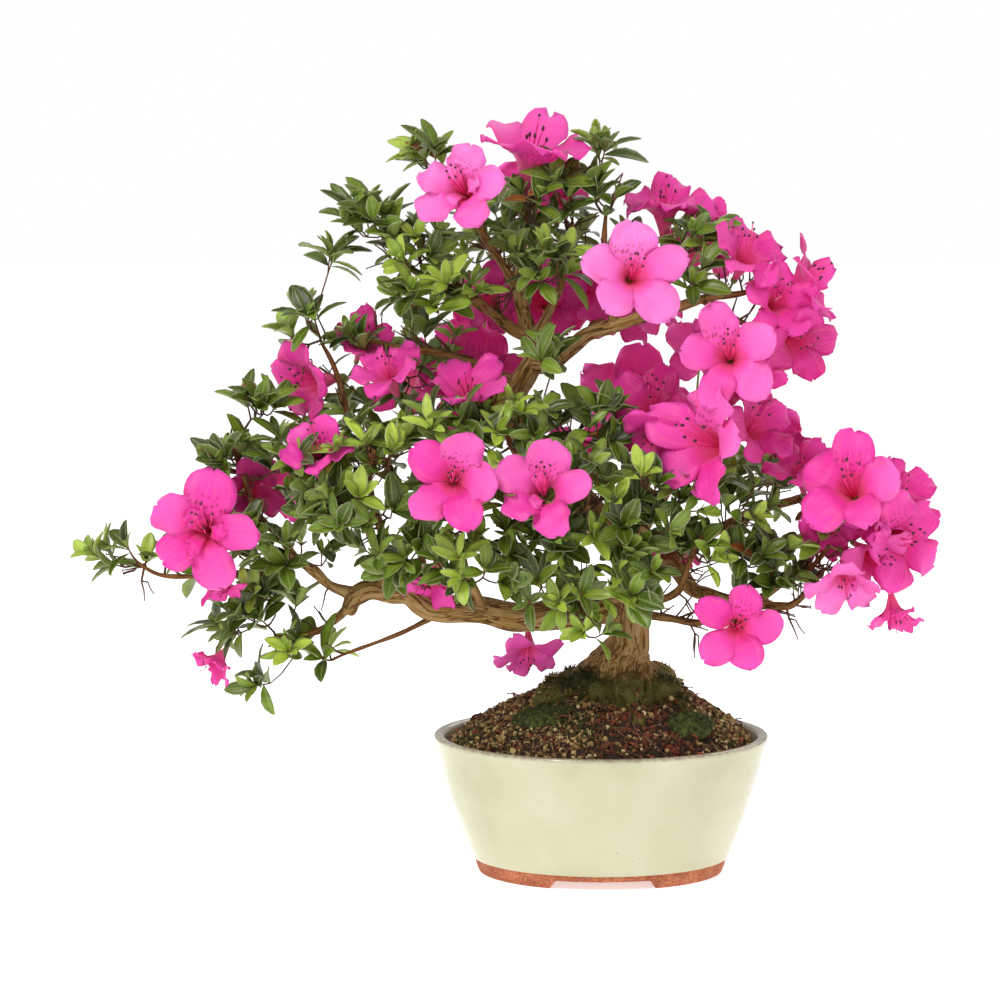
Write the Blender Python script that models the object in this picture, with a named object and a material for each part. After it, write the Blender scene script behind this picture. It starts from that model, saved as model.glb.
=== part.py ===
"""A flowering azalea bonsai in an oval glazed pot, built as the pieces it really has.

The pot stands on two crescent feet and holds two drainage screens, a domed bed of soil and two
cushions of moss.  The woody plant is one grown piece: root flare, trunk, limbs and branches.
Leaf sprays and flowers are separate pieces, each on its own stalk that stops just short of the wood.

Sizes are in millimetres until MM turns them into Blender's metres.  X runs along the pot, Y to the
back and Z up.  Places in the tree are measured from the collar, where the trunk leaves the soil.
"""

import math
import random

import bmesh
import bpy
import numpy as np
from mathutils import Matrix, Vector, noise
from mathutils.bvhtree import BVHTree

MM = 0.001
CLEARANCE = 0.3  # air left between pieces that touch
OVAL_CLEARANCE = 0.6  # between the soil and the pot, whose facets aren't quite parallel

# Pot
POT_LENGTH = 202.0  # outside, over the lip
POT_DEPTH = 170.0
POT_HEIGHT = 84.0
POT_WALL = 6.5
POT_FLOOR = 7.0
LIP_HEIGHT = 4.0
LIP_OVERHANG = 1.2
LIP_ROUND = 1.8  # radius of the lip's outer edge
LIP_EASE = 1.2  # the flat softening of its inner edge
SIDE_LEAN = 24.0  # how far the wall comes in from the lip to the foot, on each side
FOOT_HEIGHT = 9.0  # the unglazed band
FOOT_STEP = 1.5  # the band stands this far inside the glazed wall
FOOT_TAPER = 2.0  # and comes in this much more at the ground
GLAZE_ROLL = 0.5  # height of the glaze's rounded lower edge
FOOT_ARCH = 5.5  # height of the gap between the two feet, and of the hollow behind them
ARCH_HALF_WIDTH = 33.0
UNDERCUT = 5.0  # cutters run this far past the underside
FLOOR_COVE = 5.0  # the inside corner is filled this far out from the wall
FLOOR_COVE_HEIGHT = 6.0
FOOT_RING = 9.0  # width of the ring that the feet are cut from
DRAIN_RADIUS = 8.0
DRAIN_SPACING = 70.0
DRAIN_SEGMENTS = 16
POT_SEGMENTS = 32

# Drainage screens
SCREEN_SIDE = 28.0
SCREEN_THICKNESS = 1.0
SCREEN_CELLS = 3
SCREEN_BAR = 2.0

# Soil and moss
SOIL_BELOW_LIP = 6.0
MOUND_RISE = 29.0  # height of the collar above the lip
MOUND_FALL = 2.6  # a larger power keeps the dome flat for longer before its edge
MOUND_RINGS = 5
MOUND_UNEVENNESS = 1.6
MOUND_BUMP = 18.0  # width of one uneven patch
COLLAR_X = 12.0
MOSS_PATCHES = {  # centre in X and Y, half length and half depth
    "moss_left": (-30.0, -34.0, 24.0, 15.0),
    "moss_right": (50.0, -42.0, 15.0, 11.0),
}
MOSS_THICKNESS = 4.5

# Tree
TREE_HEIGHT = 350.0  # from the collar to the top flower
NOMINAL_HEIGHT = 350.0  # the height that the places below are written for
TRUNK_DIAMETER = 23.0
NOMINAL_DIAMETER = 23.0
TRUNK_SIDES = 10
LIMB_SIDES = 8
BRANCH_SIDES = 6
THICK_LIMB = 5.0  # a limb that starts thicker than this is drawn with the limb's sides
BURIED_BELOW = 35.0  # trunk places below this shape the hole in the soil
LEADER_PLACES = 8  # how many of the trunk's last places are thin enough to carry stalks

# Each branch is a list of places (x, y, z, radius) along its middle, from where it leaves its parent.
TRUNK = [
    (10, 0, -16, 41), (11, 0, -4, 37), (12, 0, 5, 31), (13, -1, 13, 23), (15, -2, 21, 16),
    (17, -3, 28, 12.3), (17, -3, 40, 11.5), (19, -2, 53, 11.5), (22, 0, 66, 12.5), (14, 5, 83, 11),
    (-2, 10, 99, 10.4), (-22, 12, 119, 9.5), (-38, 12, 139, 8.5), (-50, 10, 159, 7.8),
    (-52, 8, 177, 7.2), (-45, 5, 189, 6.8), (-41, 5, 200, 6), (-45, 8, 218, 4.6),
    (-50, 8, 238, 3.8), (-48, 5, 262, 3.1), (-45, 2, 285, 2.5), (-46, 0, 303, 1.9),
    (-49, -3, 316, 1.3),
]
ROOTS = [
    [(4, -6, 12, 13), (-18, -16, 3, 10), (-38, -24, -6, 7), (-54, -30, -17, 4)],
    [(22, -8, 12, 12), (38, -18, 2, 9), (54, -26, -9, 6), (66, -30, -20, 4)],
    [(2, 8, 12, 12), (-20, 20, 2, 9), (-40, 30, -10, 6), (-54, 36, -22, 4)],
    [(24, 8, 12, 12), (42, 18, 1, 8), (58, 28, -12, 5), (68, 34, -22, 4)],
    [(12, -12, 10, 12), (16, -32, -1, 8), (22, -48, -12, 5)],
]
LIMBS = [
    # the long left limb and what it carries
    [(15, 0, 48, 9.5), (-8, -4, 45, 9.5), (-31, -8, 44, 9), (-60, -12, 45, 8.6), (-97, -15, 50, 7.6),
     (-115, -14, 57, 7.2), (-133, -12, 60, 6.6), (-147, -12, 56, 5.8), (-153, -14, 47, 4.4)],
    [(-131, -13, 62, 3.8), (-128, -25, 82, 3), (-132, -40, 107, 2.4), (-138, -55, 132, 1.8),
     (-134, -64, 150, 1.3)],
    [(-145, -12, 57, 4), (-165, -14, 66, 3.3), (-182, -18, 80, 2.8), (-195, -22, 96, 2.3),
     (-208, -25, 116, 1.9), (-216, -25, 138, 1.5), (-218, -22, 152, 1.1)],
    [(-180, -17, 78, 2.4), (-205, -20, 72, 1.9), (-235, -20, 69, 1.7), (-262, -20, 71, 1.3),
     (-276, -20, 77, 1.1)],
    [(-151, -13, 50, 3), (-163, -16, 40, 2.3), (-178, -18, 34, 1.8), (-195, -20, 33, 1.3)],
    [(-97, -15, 46, 2), (-121, -18, 35, 1.4), (-145, -20, 26, 1.1), (-160, -21, 20, 0.9)],
    [(-70, -13, 48, 3.4), (-78, -30, 66, 2.6), (-82, -55, 84, 2), (-84, -74, 94, 1.4)],
    [(-95, -14, 52, 3.4), (-97, -28, 72, 2.6), (-100, -50, 97, 2), (-104, -70, 120, 1.3)],
    [(-102, -13, 54, 3.6), (-108, 15, 72, 2.8), (-115, 38, 100, 2.2), (-130, 48, 132, 1.5)],
    [(-117, -13, 59, 3.8), (-136, -5, 87, 3), (-150, -4, 122, 2.6), (-152, -6, 157, 2.2),
     (-157, -8, 187, 1.7), (-166, -8, 206, 1.2)],
    # the right limbs
    [(24, 0, 70, 6.8), (34, -2, 74, 5.8), (46, -6, 71, 5.2), (58, -10, 59, 4.4), (75, -16, 55, 3.6),
     (95, -20, 53, 2.8), (112, -22, 52, 2.2), (120, -22, 59, 1.9), (130, -23, 73, 1.5)],
    [(36, -1, 74, 5), (58, 6, 87, 4.2), (80, 8, 99, 3.6), (105, 5, 109, 3), (130, 0, 117, 2.4),
     (150, -4, 122, 1.6)],
    [(21, -6, 52, 3.8), (32, -25, 55, 2.7), (45, -38, 65, 2.3), (50, -46, 82, 1.9), (58, -50, 98, 1.3)],
    [(21, -7, 46, 3.4), (42, -22, 44, 2.4), (60, -36, 45, 1.9), (70, -46, 48, 1.3)],
    [(92, -19, 55, 2.8), (108, -22, 65, 2.2), (122, -27, 75, 1.9), (134, -33, 90, 1.4)],
    # short branches to the front of the crown
    [(17, -6, 56, 3.8), (5, -30, 58, 2.8), (-8, -50, 60, 2.2), (-14, -64, 63, 1.4)],
    [(-4, 6, 100, 4.2), (-10, -20, 105, 3), (-12, -48, 111, 2.4), (-10, -74, 118, 1.5)],
    [(16, 2, 82, 4.4), (25, -15, 99, 3.2), (32, -38, 114, 2.6), (35, -60, 126, 1.6)],
    [(-33, 10, 134, 4.2), (-30, -10, 148, 3.2), (-20, -32, 156, 2.4), (-4, -48, 159, 1.5)],
    [(-45, 8, 150, 4.2), (-60, -10, 159, 3), (-68, -32, 166, 2.2), (-71, -44, 171, 1.4)],
    [(2, 7, 96, 4.4), (22, 5, 117, 3.4), (40, -4, 138, 2.8), (58, -10, 150, 2.3), (74, -12, 154, 1.4)],
    # branches to the back
    [(-12, 13, 106, 4.6), (-30, 38, 119, 3.4), (-50, 60, 134, 2.6), (-57, 70, 144, 1.6)],
    [(18, 6, 80, 4.8), (30, 28, 97, 3.6), (45, 50, 118, 2.8), (50, 64, 130, 1.6)],
    [(78, 8, 98, 3.4), (98, 22, 104, 2.4), (122, 34, 111, 1.5)],
    # the upper right limb
    [(-43, 5, 194, 5.4), (-29, -5, 196, 4.8), (-9, -15, 213, 4.4), (13, -18, 221, 4), (35, -20, 229, 3.4),
     (58, -21, 234, 2.8), (75, -20, 238, 2.1), (88, -18, 240, 1.4)],
    [(31, -19, 228, 3), (38, -12, 246, 2.2), (46, -8, 262, 1.4)],
    [(60, -21, 234, 2.6), (80, -17, 222, 2), (96, -9, 213, 1.3)],
    [(7, -17, 218, 3), (4, -20, 238, 2.2), (0, -15, 260, 1.8), (2, -8, 284, 1.3)],
    [(-43, 6, 204, 4), (-33, 1, 225, 3), (-25, -3, 243, 2.4), (-22, 0, 266, 1.7), (-18, 0, 280, 1.2)],
    # the upper left branches
    [(-44, 7, 210, 4.2), (-58, 5, 219, 3.6), (-70, 2, 228, 3.2), (-88, -4, 239, 2.7),
     (-108, -9, 249, 2.2), (-122, -11, 262, 1.4)],
    [(-49, 8, 236, 3.4), (-62, 1, 258, 2.5), (-76, -4, 281, 2), (-86, -6, 300, 1.3)],
    [(-60, 4, 220, 3), (-72, -15, 232, 2.3), (-86, -28, 245, 1.4)],
    [(-50, 8, 182, 3.8), (-70, 0, 192, 3), (-95, -5, 202, 2.4), (-120, -8, 205, 2), (-142, -8, 211, 1.4)],
    [(-46, 7, 226, 3.4), (-55, 28, 244, 2.8), (-63, 42, 258, 1.6)],
    [(-24, -8, 200, 3.6), (-5, 18, 216, 2.6), (14, 36, 232, 1.6)],
]

# Flowers: where the throat is, which way it faces, and its width over the petals.
FLOWER_DIAMETER = 56.0  # the width that the shares below are taken of
THROAT_RADIUS = 6.5
FUNNEL = ((0.25, 2.2), (0.7, 3.9), (1.0, THROAT_RADIUS))  # the tube's width at shares of its length
PETAL_EDGE = 1.2  # how far inside the throat the hollow's edge stands
HOLLOW_FOOT = 1.0  # radius of the hollow's end
HOLLOW_DEPTH = 11.0
HOLLOW_START = 3.5  # depth at which the hollow is as wide as the throat
FLOWER_SIDES = 10
COROLLA_TUBE = 15.0
LOBE_RISE = 4.5  # how far the petal tips stand ahead of the throat
NOTCH_SHARE = 0.6  # radius between two petals, as a share of the radius at their tips
STALK_RADIUS = 0.9
FLOWERS = [
    ((-43, -10, 330), (0.15, -0.25, 0.95), 0.96),
    ((-85, -47, 308), (-0.3, -0.9, 0.3), 0.98),
    ((15, -62, 264), (0.1, -0.97, 0.2), 1.08),
    ((36, 10, 298), (0.0, -0.2, 0.95), 0.82),
    ((81, -25, 267), (0.2, -0.5, 0.8), 0.98),
    ((120, -8, 249), (0.85, -0.35, 0.3), 0.98),
    ((75, -58, 220), (-0.1, -0.95, 0.2), 1.08),
    ((118, -8, 210), (0.55, -0.6, -0.5), 0.98),
    ((11, 22, 207), (0.0, -0.6, -0.6), 0.88),
    ((-34, 48, 226), (0.0, -0.8, 0.2), 0.96),
    ((-76, 30, 186), (0.0, -0.9, 0.3), 1.0),
    ((-122, -22, 187), (-0.3, -0.5, 0.75), 0.9),
    ((-174, -6, 194), (-0.7, -0.5, -0.1), 0.96),
    ((-168, -60, 166), (-0.2, -0.7, 0.7), 0.78),
    ((-238, -62, 116), (-0.1, -1.0, 0.05), 1.14),
    ((-230, -15, 24), (-0.5, -0.4, -0.7), 0.7),
    ((-88, -100, 143), (0.0, -1.0, 0.1), 0.82),
    ((-35, -98, 134), (-0.1, -0.9, 0.4), 1.08),
    ((-46, 8, 24), (0.0, -0.6, -0.8), 0.9),
    ((30, -20, 180), (-0.1, -0.7, 0.7), 0.98),
    ((60, -70, 167), (0.05, -1.0, 0.1), 1.08),
    ((94, -24, 160), (0.5, -0.5, 0.5), 0.96),
    ((77, -72, 56), (0.0, -1.0, -0.05), 1.0),
    ((147, -52, 127), (-0.1, -0.85, 0.45), 1.12),
    ((179, 4, 128), (0.5, -0.1, 0.8), 0.96),
    ((178, -32, 92), (0.75, -0.6, 0.0), 1.0),
    ((144, -42, 74), (0.05, -0.35, -0.93), 0.9),
    ((20, 96, 170), (0.1, 0.9, 0.3), 1.0),
]

# Leaf sprays: the middle of each tuft of leaves, and which way its shoots lean.
LEAF_LENGTH = 27.0
LEAF_WIDTH = 10.0
LEAF_THICKNESS = 0.9
LEAF_WIDEST = 0.55  # share of its length at which a leaf is widest
WHORL_HEIGHT = 3.0
SHOOT_RADIUS = 1.1
SPRAYS = [
    [((-94, -5, 322), (-0.2, -0.2, 1.0)), ((-74, 8, 318), (0.2, 0.3, 1.0))],
    [((-146, -10, 292), (-0.7, -0.2, 0.7)),
     ((-122, -12, 282), (-0.2, -0.6, 0.8)),
     ((-166, -4, 265), (-1, 0, 0.3))],
    [((-112, -50, 268), (-0.3, -0.8, 0.5)),
     ((-80, -46, 250), (0.2, -0.8, 0.5)),
     ((-112, -22, 228), (-0.5, -0.7, 0.2))],
    [((-50, -22, 308), (-0.1, -0.6, 0.8)), ((-28, -20, 292), (0.2, -0.8, 0.5))],
    [((2, 2, 322), (0.1, 0.1, 1.0)), ((14, -6, 300), (0.7, -0.4, 0.6))],
    [((-37, -48, 262), (0.1, -0.9, 0.4)), ((-33, -58, 214), (0.2, -0.9, 0.4))],
    [((58, -12, 286), (0.2, -0.5, 0.9)),
     ((76, 6, 280), (0.6, 0.1, 0.7)),
     ((56, -40, 254), (-0.2, -0.9, 0.4))],
    [((-184, -8, 226), (-0.7, -0.1, 0.7)), ((-150, -26, 216), (-0.1, -0.7, 0.6))],
    [((-212, -28, 168), (-0.3, -0.4, 0.9)), ((-236, -22, 148), (-0.9, -0.2, 0.5))],
    [((-136, -76, 170), (-0.2, -0.7, 0.7)), ((-112, -78, 160), (0.3, -0.8, 0.6))],
    [((-176, -72, 134), (-0.4, -0.8, 0.4)), ((-150, -80, 132), (0.2, -0.9, 0.4))],
    [((-186, -58, 92), (-0.5, -0.7, 0.2)), ((-122, -88, 100), (0.1, -1.0, 0.1))],
    [((-286, -20, 86), (-0.8, -0.1, 0.5)), ((-300, -18, 92), (-1.0, 0.1, 0.2))],
    [((-206, -24, 42), (-0.6, -0.4, 0.5)), ((-182, -24, 24), (0.1, -0.5, -0.7))],
    [((-64, -58, 180), (-0.2, -0.7, 0.7)), ((-28, -52, 178), (0.3, -0.6, 0.8))],
    [((6, -72, 160), (0.1, -0.8, 0.6)), ((32, -84, 136), (0.2, -0.9, 0.3))],
    [((-88, -104, 104), (-0.3, -0.9, 0.2)), ((-54, -108, 86), (0.2, -1.0, 0.1))],
    [((-8, -98, 122), (0.0, -0.9, 0.4)), ((8, -94, 104), (0.5, -0.9, 0.1))],
    [((-20, -84, 72), (-0.3, -0.9, 0.1)), ((6, -78, 62), (0.3, -0.9, -0.2))],
    [((68, -64, 112), (0.1, -0.8, 0.5)), ((88, -46, 122), (0.5, -0.6, 0.6))],
    [((64, -58, 88), (-0.1, -0.9, 0.1)), ((108, -36, 98), (0.4, -0.8, 0.4))],
    [((-74, 58, 282), (-0.2, 0.8, 0.6)),
     ((-40, 52, 268), (0.2, 0.8, 0.6)),
     ((26, 52, 256), (0.2, 0.7, 0.7))],
    [((-150, 62, 170), (-0.2, 0.8, 0.6)),
     ((-176, 50, 140), (-0.6, 0.7, 0.3)),
     ((-122, 66, 138), (0.2, 0.9, 0.2))],
    [((-70, 92, 160), (-0.2, 0.8, 0.6)), ((-44, 92, 136), (0.2, 0.9, 0.2))],
    [((56, 84, 146), (0.2, 0.8, 0.6)), ((84, 72, 132), (0.5, 0.8, 0.2)), ((134, 44, 124), (0.6, 0.6, 0.5))],
]
SEED = 7

COLOURS = {  # name: (red, green, blue), roughness
    "glaze": ((0.72, 0.69, 0.46), 0.15),
    "screen_plastic": ((0.03, 0.03, 0.03), 0.6),
    "soil": ((0.07, 0.035, 0.02), 0.95),
    "moss": ((0.07, 0.12, 0.02), 0.95),
    "bark": ((0.17, 0.11, 0.06), 0.85),
    "leaf": ((0.12, 0.2, 0.05), 0.5),
    "petal": ((0.85, 0.06, 0.35), 0.5),
}


def soil_top():
    return POT_HEIGHT + MOUND_RISE


def tree_place(x, y, z):
    """A place in the tree, from the collar, turned into the pot's frame."""
    share = TREE_HEIGHT / NOMINAL_HEIGHT
    return Vector((COLLAR_X + (x - COLLAR_X) * share, y * share, soil_top() + z * share))


def wood_path(places):
    """A branch's places in the pot's frame, each with its radius."""
    share = TRUNK_DIAMETER / NOMINAL_DIAMETER
    return [(*tree_place(x, y, z), r * share) for x, y, z, r in places]


def clear_scene():
    for obj in list(bpy.data.objects):
        bpy.data.objects.remove(obj, do_unlink=True)


def material(name):
    (red, green, blue), roughness = COLOURS[name]
    made = bpy.data.materials.get(name)
    if made is None:
        made = bpy.data.materials.new(name)
        made.use_nodes = True
        shader = made.node_tree.nodes["Principled BSDF"]
        shader.inputs["Base Color"].default_value = (red, green, blue, 1.0)
        shader.inputs["Roughness"].default_value = roughness
        shader.inputs["Metallic"].default_value = 0.0
    return made


def mesh_from(bm, name):
    """A finished bmesh as a mesh, its faces pointing out."""
    bmesh.ops.recalc_face_normals(bm, faces=bm.faces)
    mesh = bpy.data.meshes.new(name)
    bm.to_mesh(mesh)
    bm.free()
    return mesh


def helper(mesh, name):
    """A cutter or a shape to be joined, kept out of the render."""
    obj = bpy.data.objects.new(name, mesh)
    obj.hide_render = True
    obj.display_type = "WIRE"
    HELPERS.objects.link(obj)
    return obj


def piece(mesh, name, colour, smooth=False):
    """A named piece of the bonsai, under the empty that carries them all."""
    obj = bpy.data.objects.new(name, mesh)
    obj.data.materials.append(material(colour))
    BONSAI.objects.link(obj)
    obj.parent = CARRIER
    if smooth:
        mesh.shade_smooth()
        mesh.set_sharp_from_angle(angle=math.radians(40))
    return obj


def combined(mesh, others, operation, name):
    """The mesh after a Boolean with each of the others, and the helpers removed."""
    base = helper(mesh, name)
    cutters = bpy.data.collections.new(name + "_operands")
    HELPERS.children.link(cutters)
    for number, other in enumerate(others):
        tool = bpy.data.objects.new(f"{name}_operand_{number}", other)
        cutters.objects.link(tool)
    modifier = base.modifiers.new(name, "BOOLEAN")
    modifier.operation = operation
    modifier.operand_type = "COLLECTION"
    modifier.collection = cutters
    modifier.use_self = operation == "UNION"
    bpy.context.view_layer.update()
    graph = bpy.context.evaluated_depsgraph_get()
    done = bpy.data.meshes.new_from_object(base.evaluated_get(graph))
    for obj in [base, *cutters.objects]:
        bpy.data.objects.remove(obj, do_unlink=True)
    bpy.data.collections.remove(cutters)
    return done


def oval_stack(sections, segments, name):
    """A closed oval body: a filled circle whose top face is extruded from section to section.

    Each section is (half length, half depth, height).
    """
    bm = bmesh.new()
    bmesh.ops.create_circle(bm, cap_ends=True, segments=segments, radius=1.0)
    half_x, half_y, z = sections[0]
    bm.transform(Matrix.Translation((0, 0, z * MM)) @ Matrix.Diagonal((half_x * MM, half_y * MM, 1, 1)))
    top = list(bm.faces)
    for below, above in zip(sections, sections[1:]):
        made = bmesh.ops.extrude_face_region(bm, geom=top)["geom"]
        if below is not sections[0]:
            bmesh.ops.delete(bm, geom=top, context="FACES_ONLY")
        rim = [item for item in made if isinstance(item, bmesh.types.BMVert)]
        top = [item for item in made if isinstance(item, bmesh.types.BMFace)]
        for vert in rim:
            vert.co.x *= above[0] / below[0]
            vert.co.y *= above[1] / below[1]
            vert.co.z = above[2] * MM
    return mesh_from(bm, name)


def box_mesh(half_x, half_y, low, high, centre, name):
    bm = bmesh.new()
    bmesh.ops.create_cube(bm, size=1.0)
    size = Matrix.Diagonal((2 * half_x * MM, 2 * half_y * MM, (high - low) * MM, 1))
    place = Matrix.Translation((centre[0] * MM, centre[1] * MM, (low + high) / 2 * MM))
    bm.transform(place @ size)
    return mesh_from(bm, name)


def drain_mesh(x):
    bm = bmesh.new()
    depth = 4 * (POT_FLOOR + FOOT_ARCH)
    bmesh.ops.create_cone(bm, cap_ends=True, segments=DRAIN_SEGMENTS, radius1=DRAIN_RADIUS * MM,
                          radius2=DRAIN_RADIUS * MM, depth=depth * MM)
    bm.transform(Matrix.Translation((x * MM, 0, (FOOT_ARCH + POT_FLOOR / 2) * MM)))
    return mesh_from(bm, "drain")


def wall_inset(z):
    """How far the outside of the pot's wall stands inside the lip at height z."""
    top = POT_HEIGHT - LIP_HEIGHT
    return LIP_OVERHANG + SIDE_LEAN * (top - z) / (top - FOOT_HEIGHT)


def inner_section(z, gap=0.0):
    """Half length and half depth of the pot's inside at height z, less a gap."""
    inset = wall_inset(z) + POT_WALL + gap
    return POT_LENGTH / 2 - inset, POT_DEPTH / 2 - inset, z


def outer_section(inset, z):
    return POT_LENGTH / 2 - inset, POT_DEPTH / 2 - inset, z


def floor_top():
    return FOOT_ARCH + POT_FLOOR


def build_pot():
    lip = POT_HEIGHT - LIP_HEIGHT
    foot_inset = wall_inset(FOOT_HEIGHT) + FOOT_STEP
    sections = [
        outer_section(foot_inset + FOOT_TAPER, 0.0),
        outer_section(foot_inset, FOOT_HEIGHT),
        outer_section(wall_inset(FOOT_HEIGHT), FOOT_HEIGHT + GLAZE_ROLL),
        outer_section(wall_inset(lip), lip),
        outer_section(0.0, lip + LIP_OVERHANG),
        outer_section(LIP_ROUND / 3, POT_HEIGHT - LIP_ROUND / 3),
        outer_section(LIP_ROUND, POT_HEIGHT),
        outer_section(LIP_OVERHANG + POT_WALL - LIP_EASE, POT_HEIGHT),
        inner_section(lip),
        inner_section(floor_top() + FLOOR_COVE_HEIGHT),
        inner_section(floor_top(), FLOOR_COVE),
    ]
    body = oval_stack(sections, POT_SEGMENTS, "pot")
    ring = foot_inset + FOOT_TAPER + FOOT_RING
    hollow_sections = [outer_section(ring, -UNDERCUT), outer_section(ring, FOOT_ARCH)]
    hollow = oval_stack(hollow_sections, POT_SEGMENTS, "hollow")
    arch = box_mesh(ARCH_HALF_WIDTH, POT_DEPTH, -UNDERCUT, FOOT_ARCH, (0, 0), "arch")
    drains = [drain_mesh(side * DRAIN_SPACING / 2) for side in (-1, 1)]
    hollowed = combined(body, [hollow], "DIFFERENCE", "pot_hollow")
    arched = combined(hollowed, [arch], "DIFFERENCE", "pot_arch")
    piece(combined(arched, drains, "DIFFERENCE", "pot_drains"), "pot", "glaze", smooth=True)


def build_screen(name, x):
    """A square plastic mesh that keeps the soil out of one drainage hole."""
    bm = bmesh.new()
    bmesh.ops.create_grid(bm, x_segments=SCREEN_CELLS, y_segments=SCREEN_CELLS, size=SCREEN_SIDE / 2 * MM)
    cells = list(bm.faces)
    bmesh.ops.inset_individual(bm, faces=cells, thickness=SCREEN_BAR / 2 * MM)
    bmesh.ops.delete(bm, geom=cells, context="FACES_ONLY")
    base = (floor_top() + CLEARANCE) * MM
    made = bmesh.ops.extrude_face_region(bm, geom=list(bm.faces))["geom"]
    lifted = [item for item in made if isinstance(item, bmesh.types.BMVert)]
    bmesh.ops.translate(bm, verts=lifted, vec=(0, 0, SCREEN_THICKNESS * MM))
    bm.transform(Matrix.Translation((x * MM, 0, base)))
    piece(mesh_from(bm, name), name, "screen_plastic")


def mound_height(share):
    """Height of the soil at a share of the way from the collar (0) to the pot's wall (1)."""
    edge = POT_HEIGHT - SOIL_BELOW_LIP
    return edge + (soil_top() - edge) * (1 - share**MOUND_FALL)


def soil_blank():
    """The bed of soil before the roots and the screens are cut out of it."""
    edge = POT_HEIGHT - SOIL_BELOW_LIP
    sections = [
        inner_section(floor_top() + CLEARANCE, FLOOR_COVE + OVAL_CLEARANCE),
        inner_section(floor_top() + FLOOR_COVE_HEIGHT, OVAL_CLEARANCE),
        inner_section(edge, OVAL_CLEARANCE),
    ]
    half_x, half_y, _ = sections[-1]
    for ring in range(1, MOUND_RINGS + 1):
        share = 1 - ring / (MOUND_RINGS + 1)
        sections.append((half_x * share, half_y * share, mound_height(share)))
    mesh = oval_stack(sections, POT_SEGMENTS, "soil")
    for vert in mesh.vertices:
        if vert.co.z > (edge + 0.5) * MM:
            share = Vector((vert.co.x / half_x, vert.co.y / half_y)).length / MM
            vert.co.x += COLLAR_X * MM * (1 - share)
            vert.co.z += MOUND_UNEVENNESS * MM * noise.noise(vert.co / (MOUND_BUMP * MM))
    return mesh


def smooth_path(places, pieces):
    """Points on a Catmull-Rom curve through the places, which hold x, y, z and a radius."""
    known = np.array([places[0], *places, places[-1]], float)
    found = []
    for i in range(1, len(known) - 2):
        a, b, c, d = known[i - 1 : i + 3]
        for step in range(pieces):
            t = step / pieces
            found.append(0.5 * (2 * b + (c - a) * t + (2 * a - 5 * b + 4 * c - d) * t**2
                                + (3 * b - a - 3 * c + d) * t**3))
    return [tuple(p) for p in found] + [tuple(known[-1])]


def grown(path, by):
    """The path of a tube that is larger all round: thicker, and longer at both ends."""
    first, second = Vector(path[0][:3]), Vector(path[1][:3])
    last, before = Vector(path[-1][:3]), Vector(path[-2][:3])
    wide = [(x, y, z, radius + by) for x, y, z, radius in path]
    head = (*(first + (first - second).normalized() * by), wide[0][3])
    tail = (*(last + (last - before).normalized() * by), wide[-1][3])
    return [head, *wide, tail]


def tube(path, sides):
    """A closed tube along the path, as a bmesh with its caps welded on."""
    curve = bpy.data.curves.new("tube", "CURVE")
    curve.dimensions = "3D"
    curve.bevel_depth = MM
    curve.bevel_resolution = sides // 2 - 2
    curve.use_fill_caps = True
    spline = curve.splines.new("POLY")
    spline.points.add(len(path) - 1)
    for point, (x, y, z, radius) in zip(spline.points, path):
        point.co = (x * MM, y * MM, z * MM, 1.0)
        point.radius = radius
    obj = bpy.data.objects.new("tube", curve)
    HELPERS.objects.link(obj)
    bpy.context.view_layer.update()
    mesh = bpy.data.meshes.new_from_object(obj.evaluated_get(bpy.context.evaluated_depsgraph_get()))
    bpy.data.objects.remove(obj, do_unlink=True)
    bpy.data.curves.remove(curve)
    bm = bmesh.new()
    bm.from_mesh(mesh)
    bpy.data.meshes.remove(mesh)
    bmesh.ops.remove_doubles(bm, verts=bm.verts, dist=1e-6)
    bmesh.ops.recalc_face_normals(bm, faces=bm.faces)
    return bm


def build_wood():
    """The whole woody plant as one body.  Returns points on its branches, for the stalks to leave from."""
    trunk = mesh_from(tube(wood_path(TRUNK), TRUNK_SIDES), "trunk")
    branches = [mesh_from(tube(wood_path(root), BRANCH_SIDES), "root") for root in ROOTS]
    for limb in LIMBS:
        sides = LIMB_SIDES if limb[0][3] > THICK_LIMB else BRANCH_SIDES
        branches.append(mesh_from(tube(wood_path(limb), sides), "limb"))
    mesh = combined(trunk, branches, "UNION", "wood")
    piece(mesh, "trunk_and_branches", "bark", smooth=True)
    leader = TRUNK[-LEADER_PLACES:]
    return [p for limb in [leader, *LIMBS] for p in smooth_path(wood_path(limb), 4)]


def root_cutters():
    """The buried foot of the trunk and its roots, grown by the clearance, to be cut from the soil."""
    foot = [place for place in TRUNK if place[2] < BURIED_BELOW]
    cutters = [mesh_from(tube(grown(wood_path(foot), 1.5 * CLEARANCE), TRUNK_SIDES), "foot_cutter")]
    for root in ROOTS:
        path = grown(wood_path(root), 1.5 * CLEARANCE)
        cutters.append(mesh_from(tube(path, BRANCH_SIDES), "root_cutter"))
    return cutters


def build_soil():
    half = SCREEN_SIDE / 2 + CLEARANCE
    top = floor_top() + SCREEN_THICKNESS + 2 * CLEARANCE
    pockets = [box_mesh(half, half, 0.0, top, (side * DRAIN_SPACING / 2, 0), "pocket") for side in (-1, 1)]
    foot, *buried = root_cutters()
    roots = combined(foot, buried, "UNION", "roots")
    bedded = combined(soil_blank(), [roots], "DIFFERENCE", "soil_roots")
    mesh = largest_part(combined(bedded, pockets, "DIFFERENCE", "soil_pockets"))
    piece(mesh, "soil_mound", "soil", smooth=True)


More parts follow.
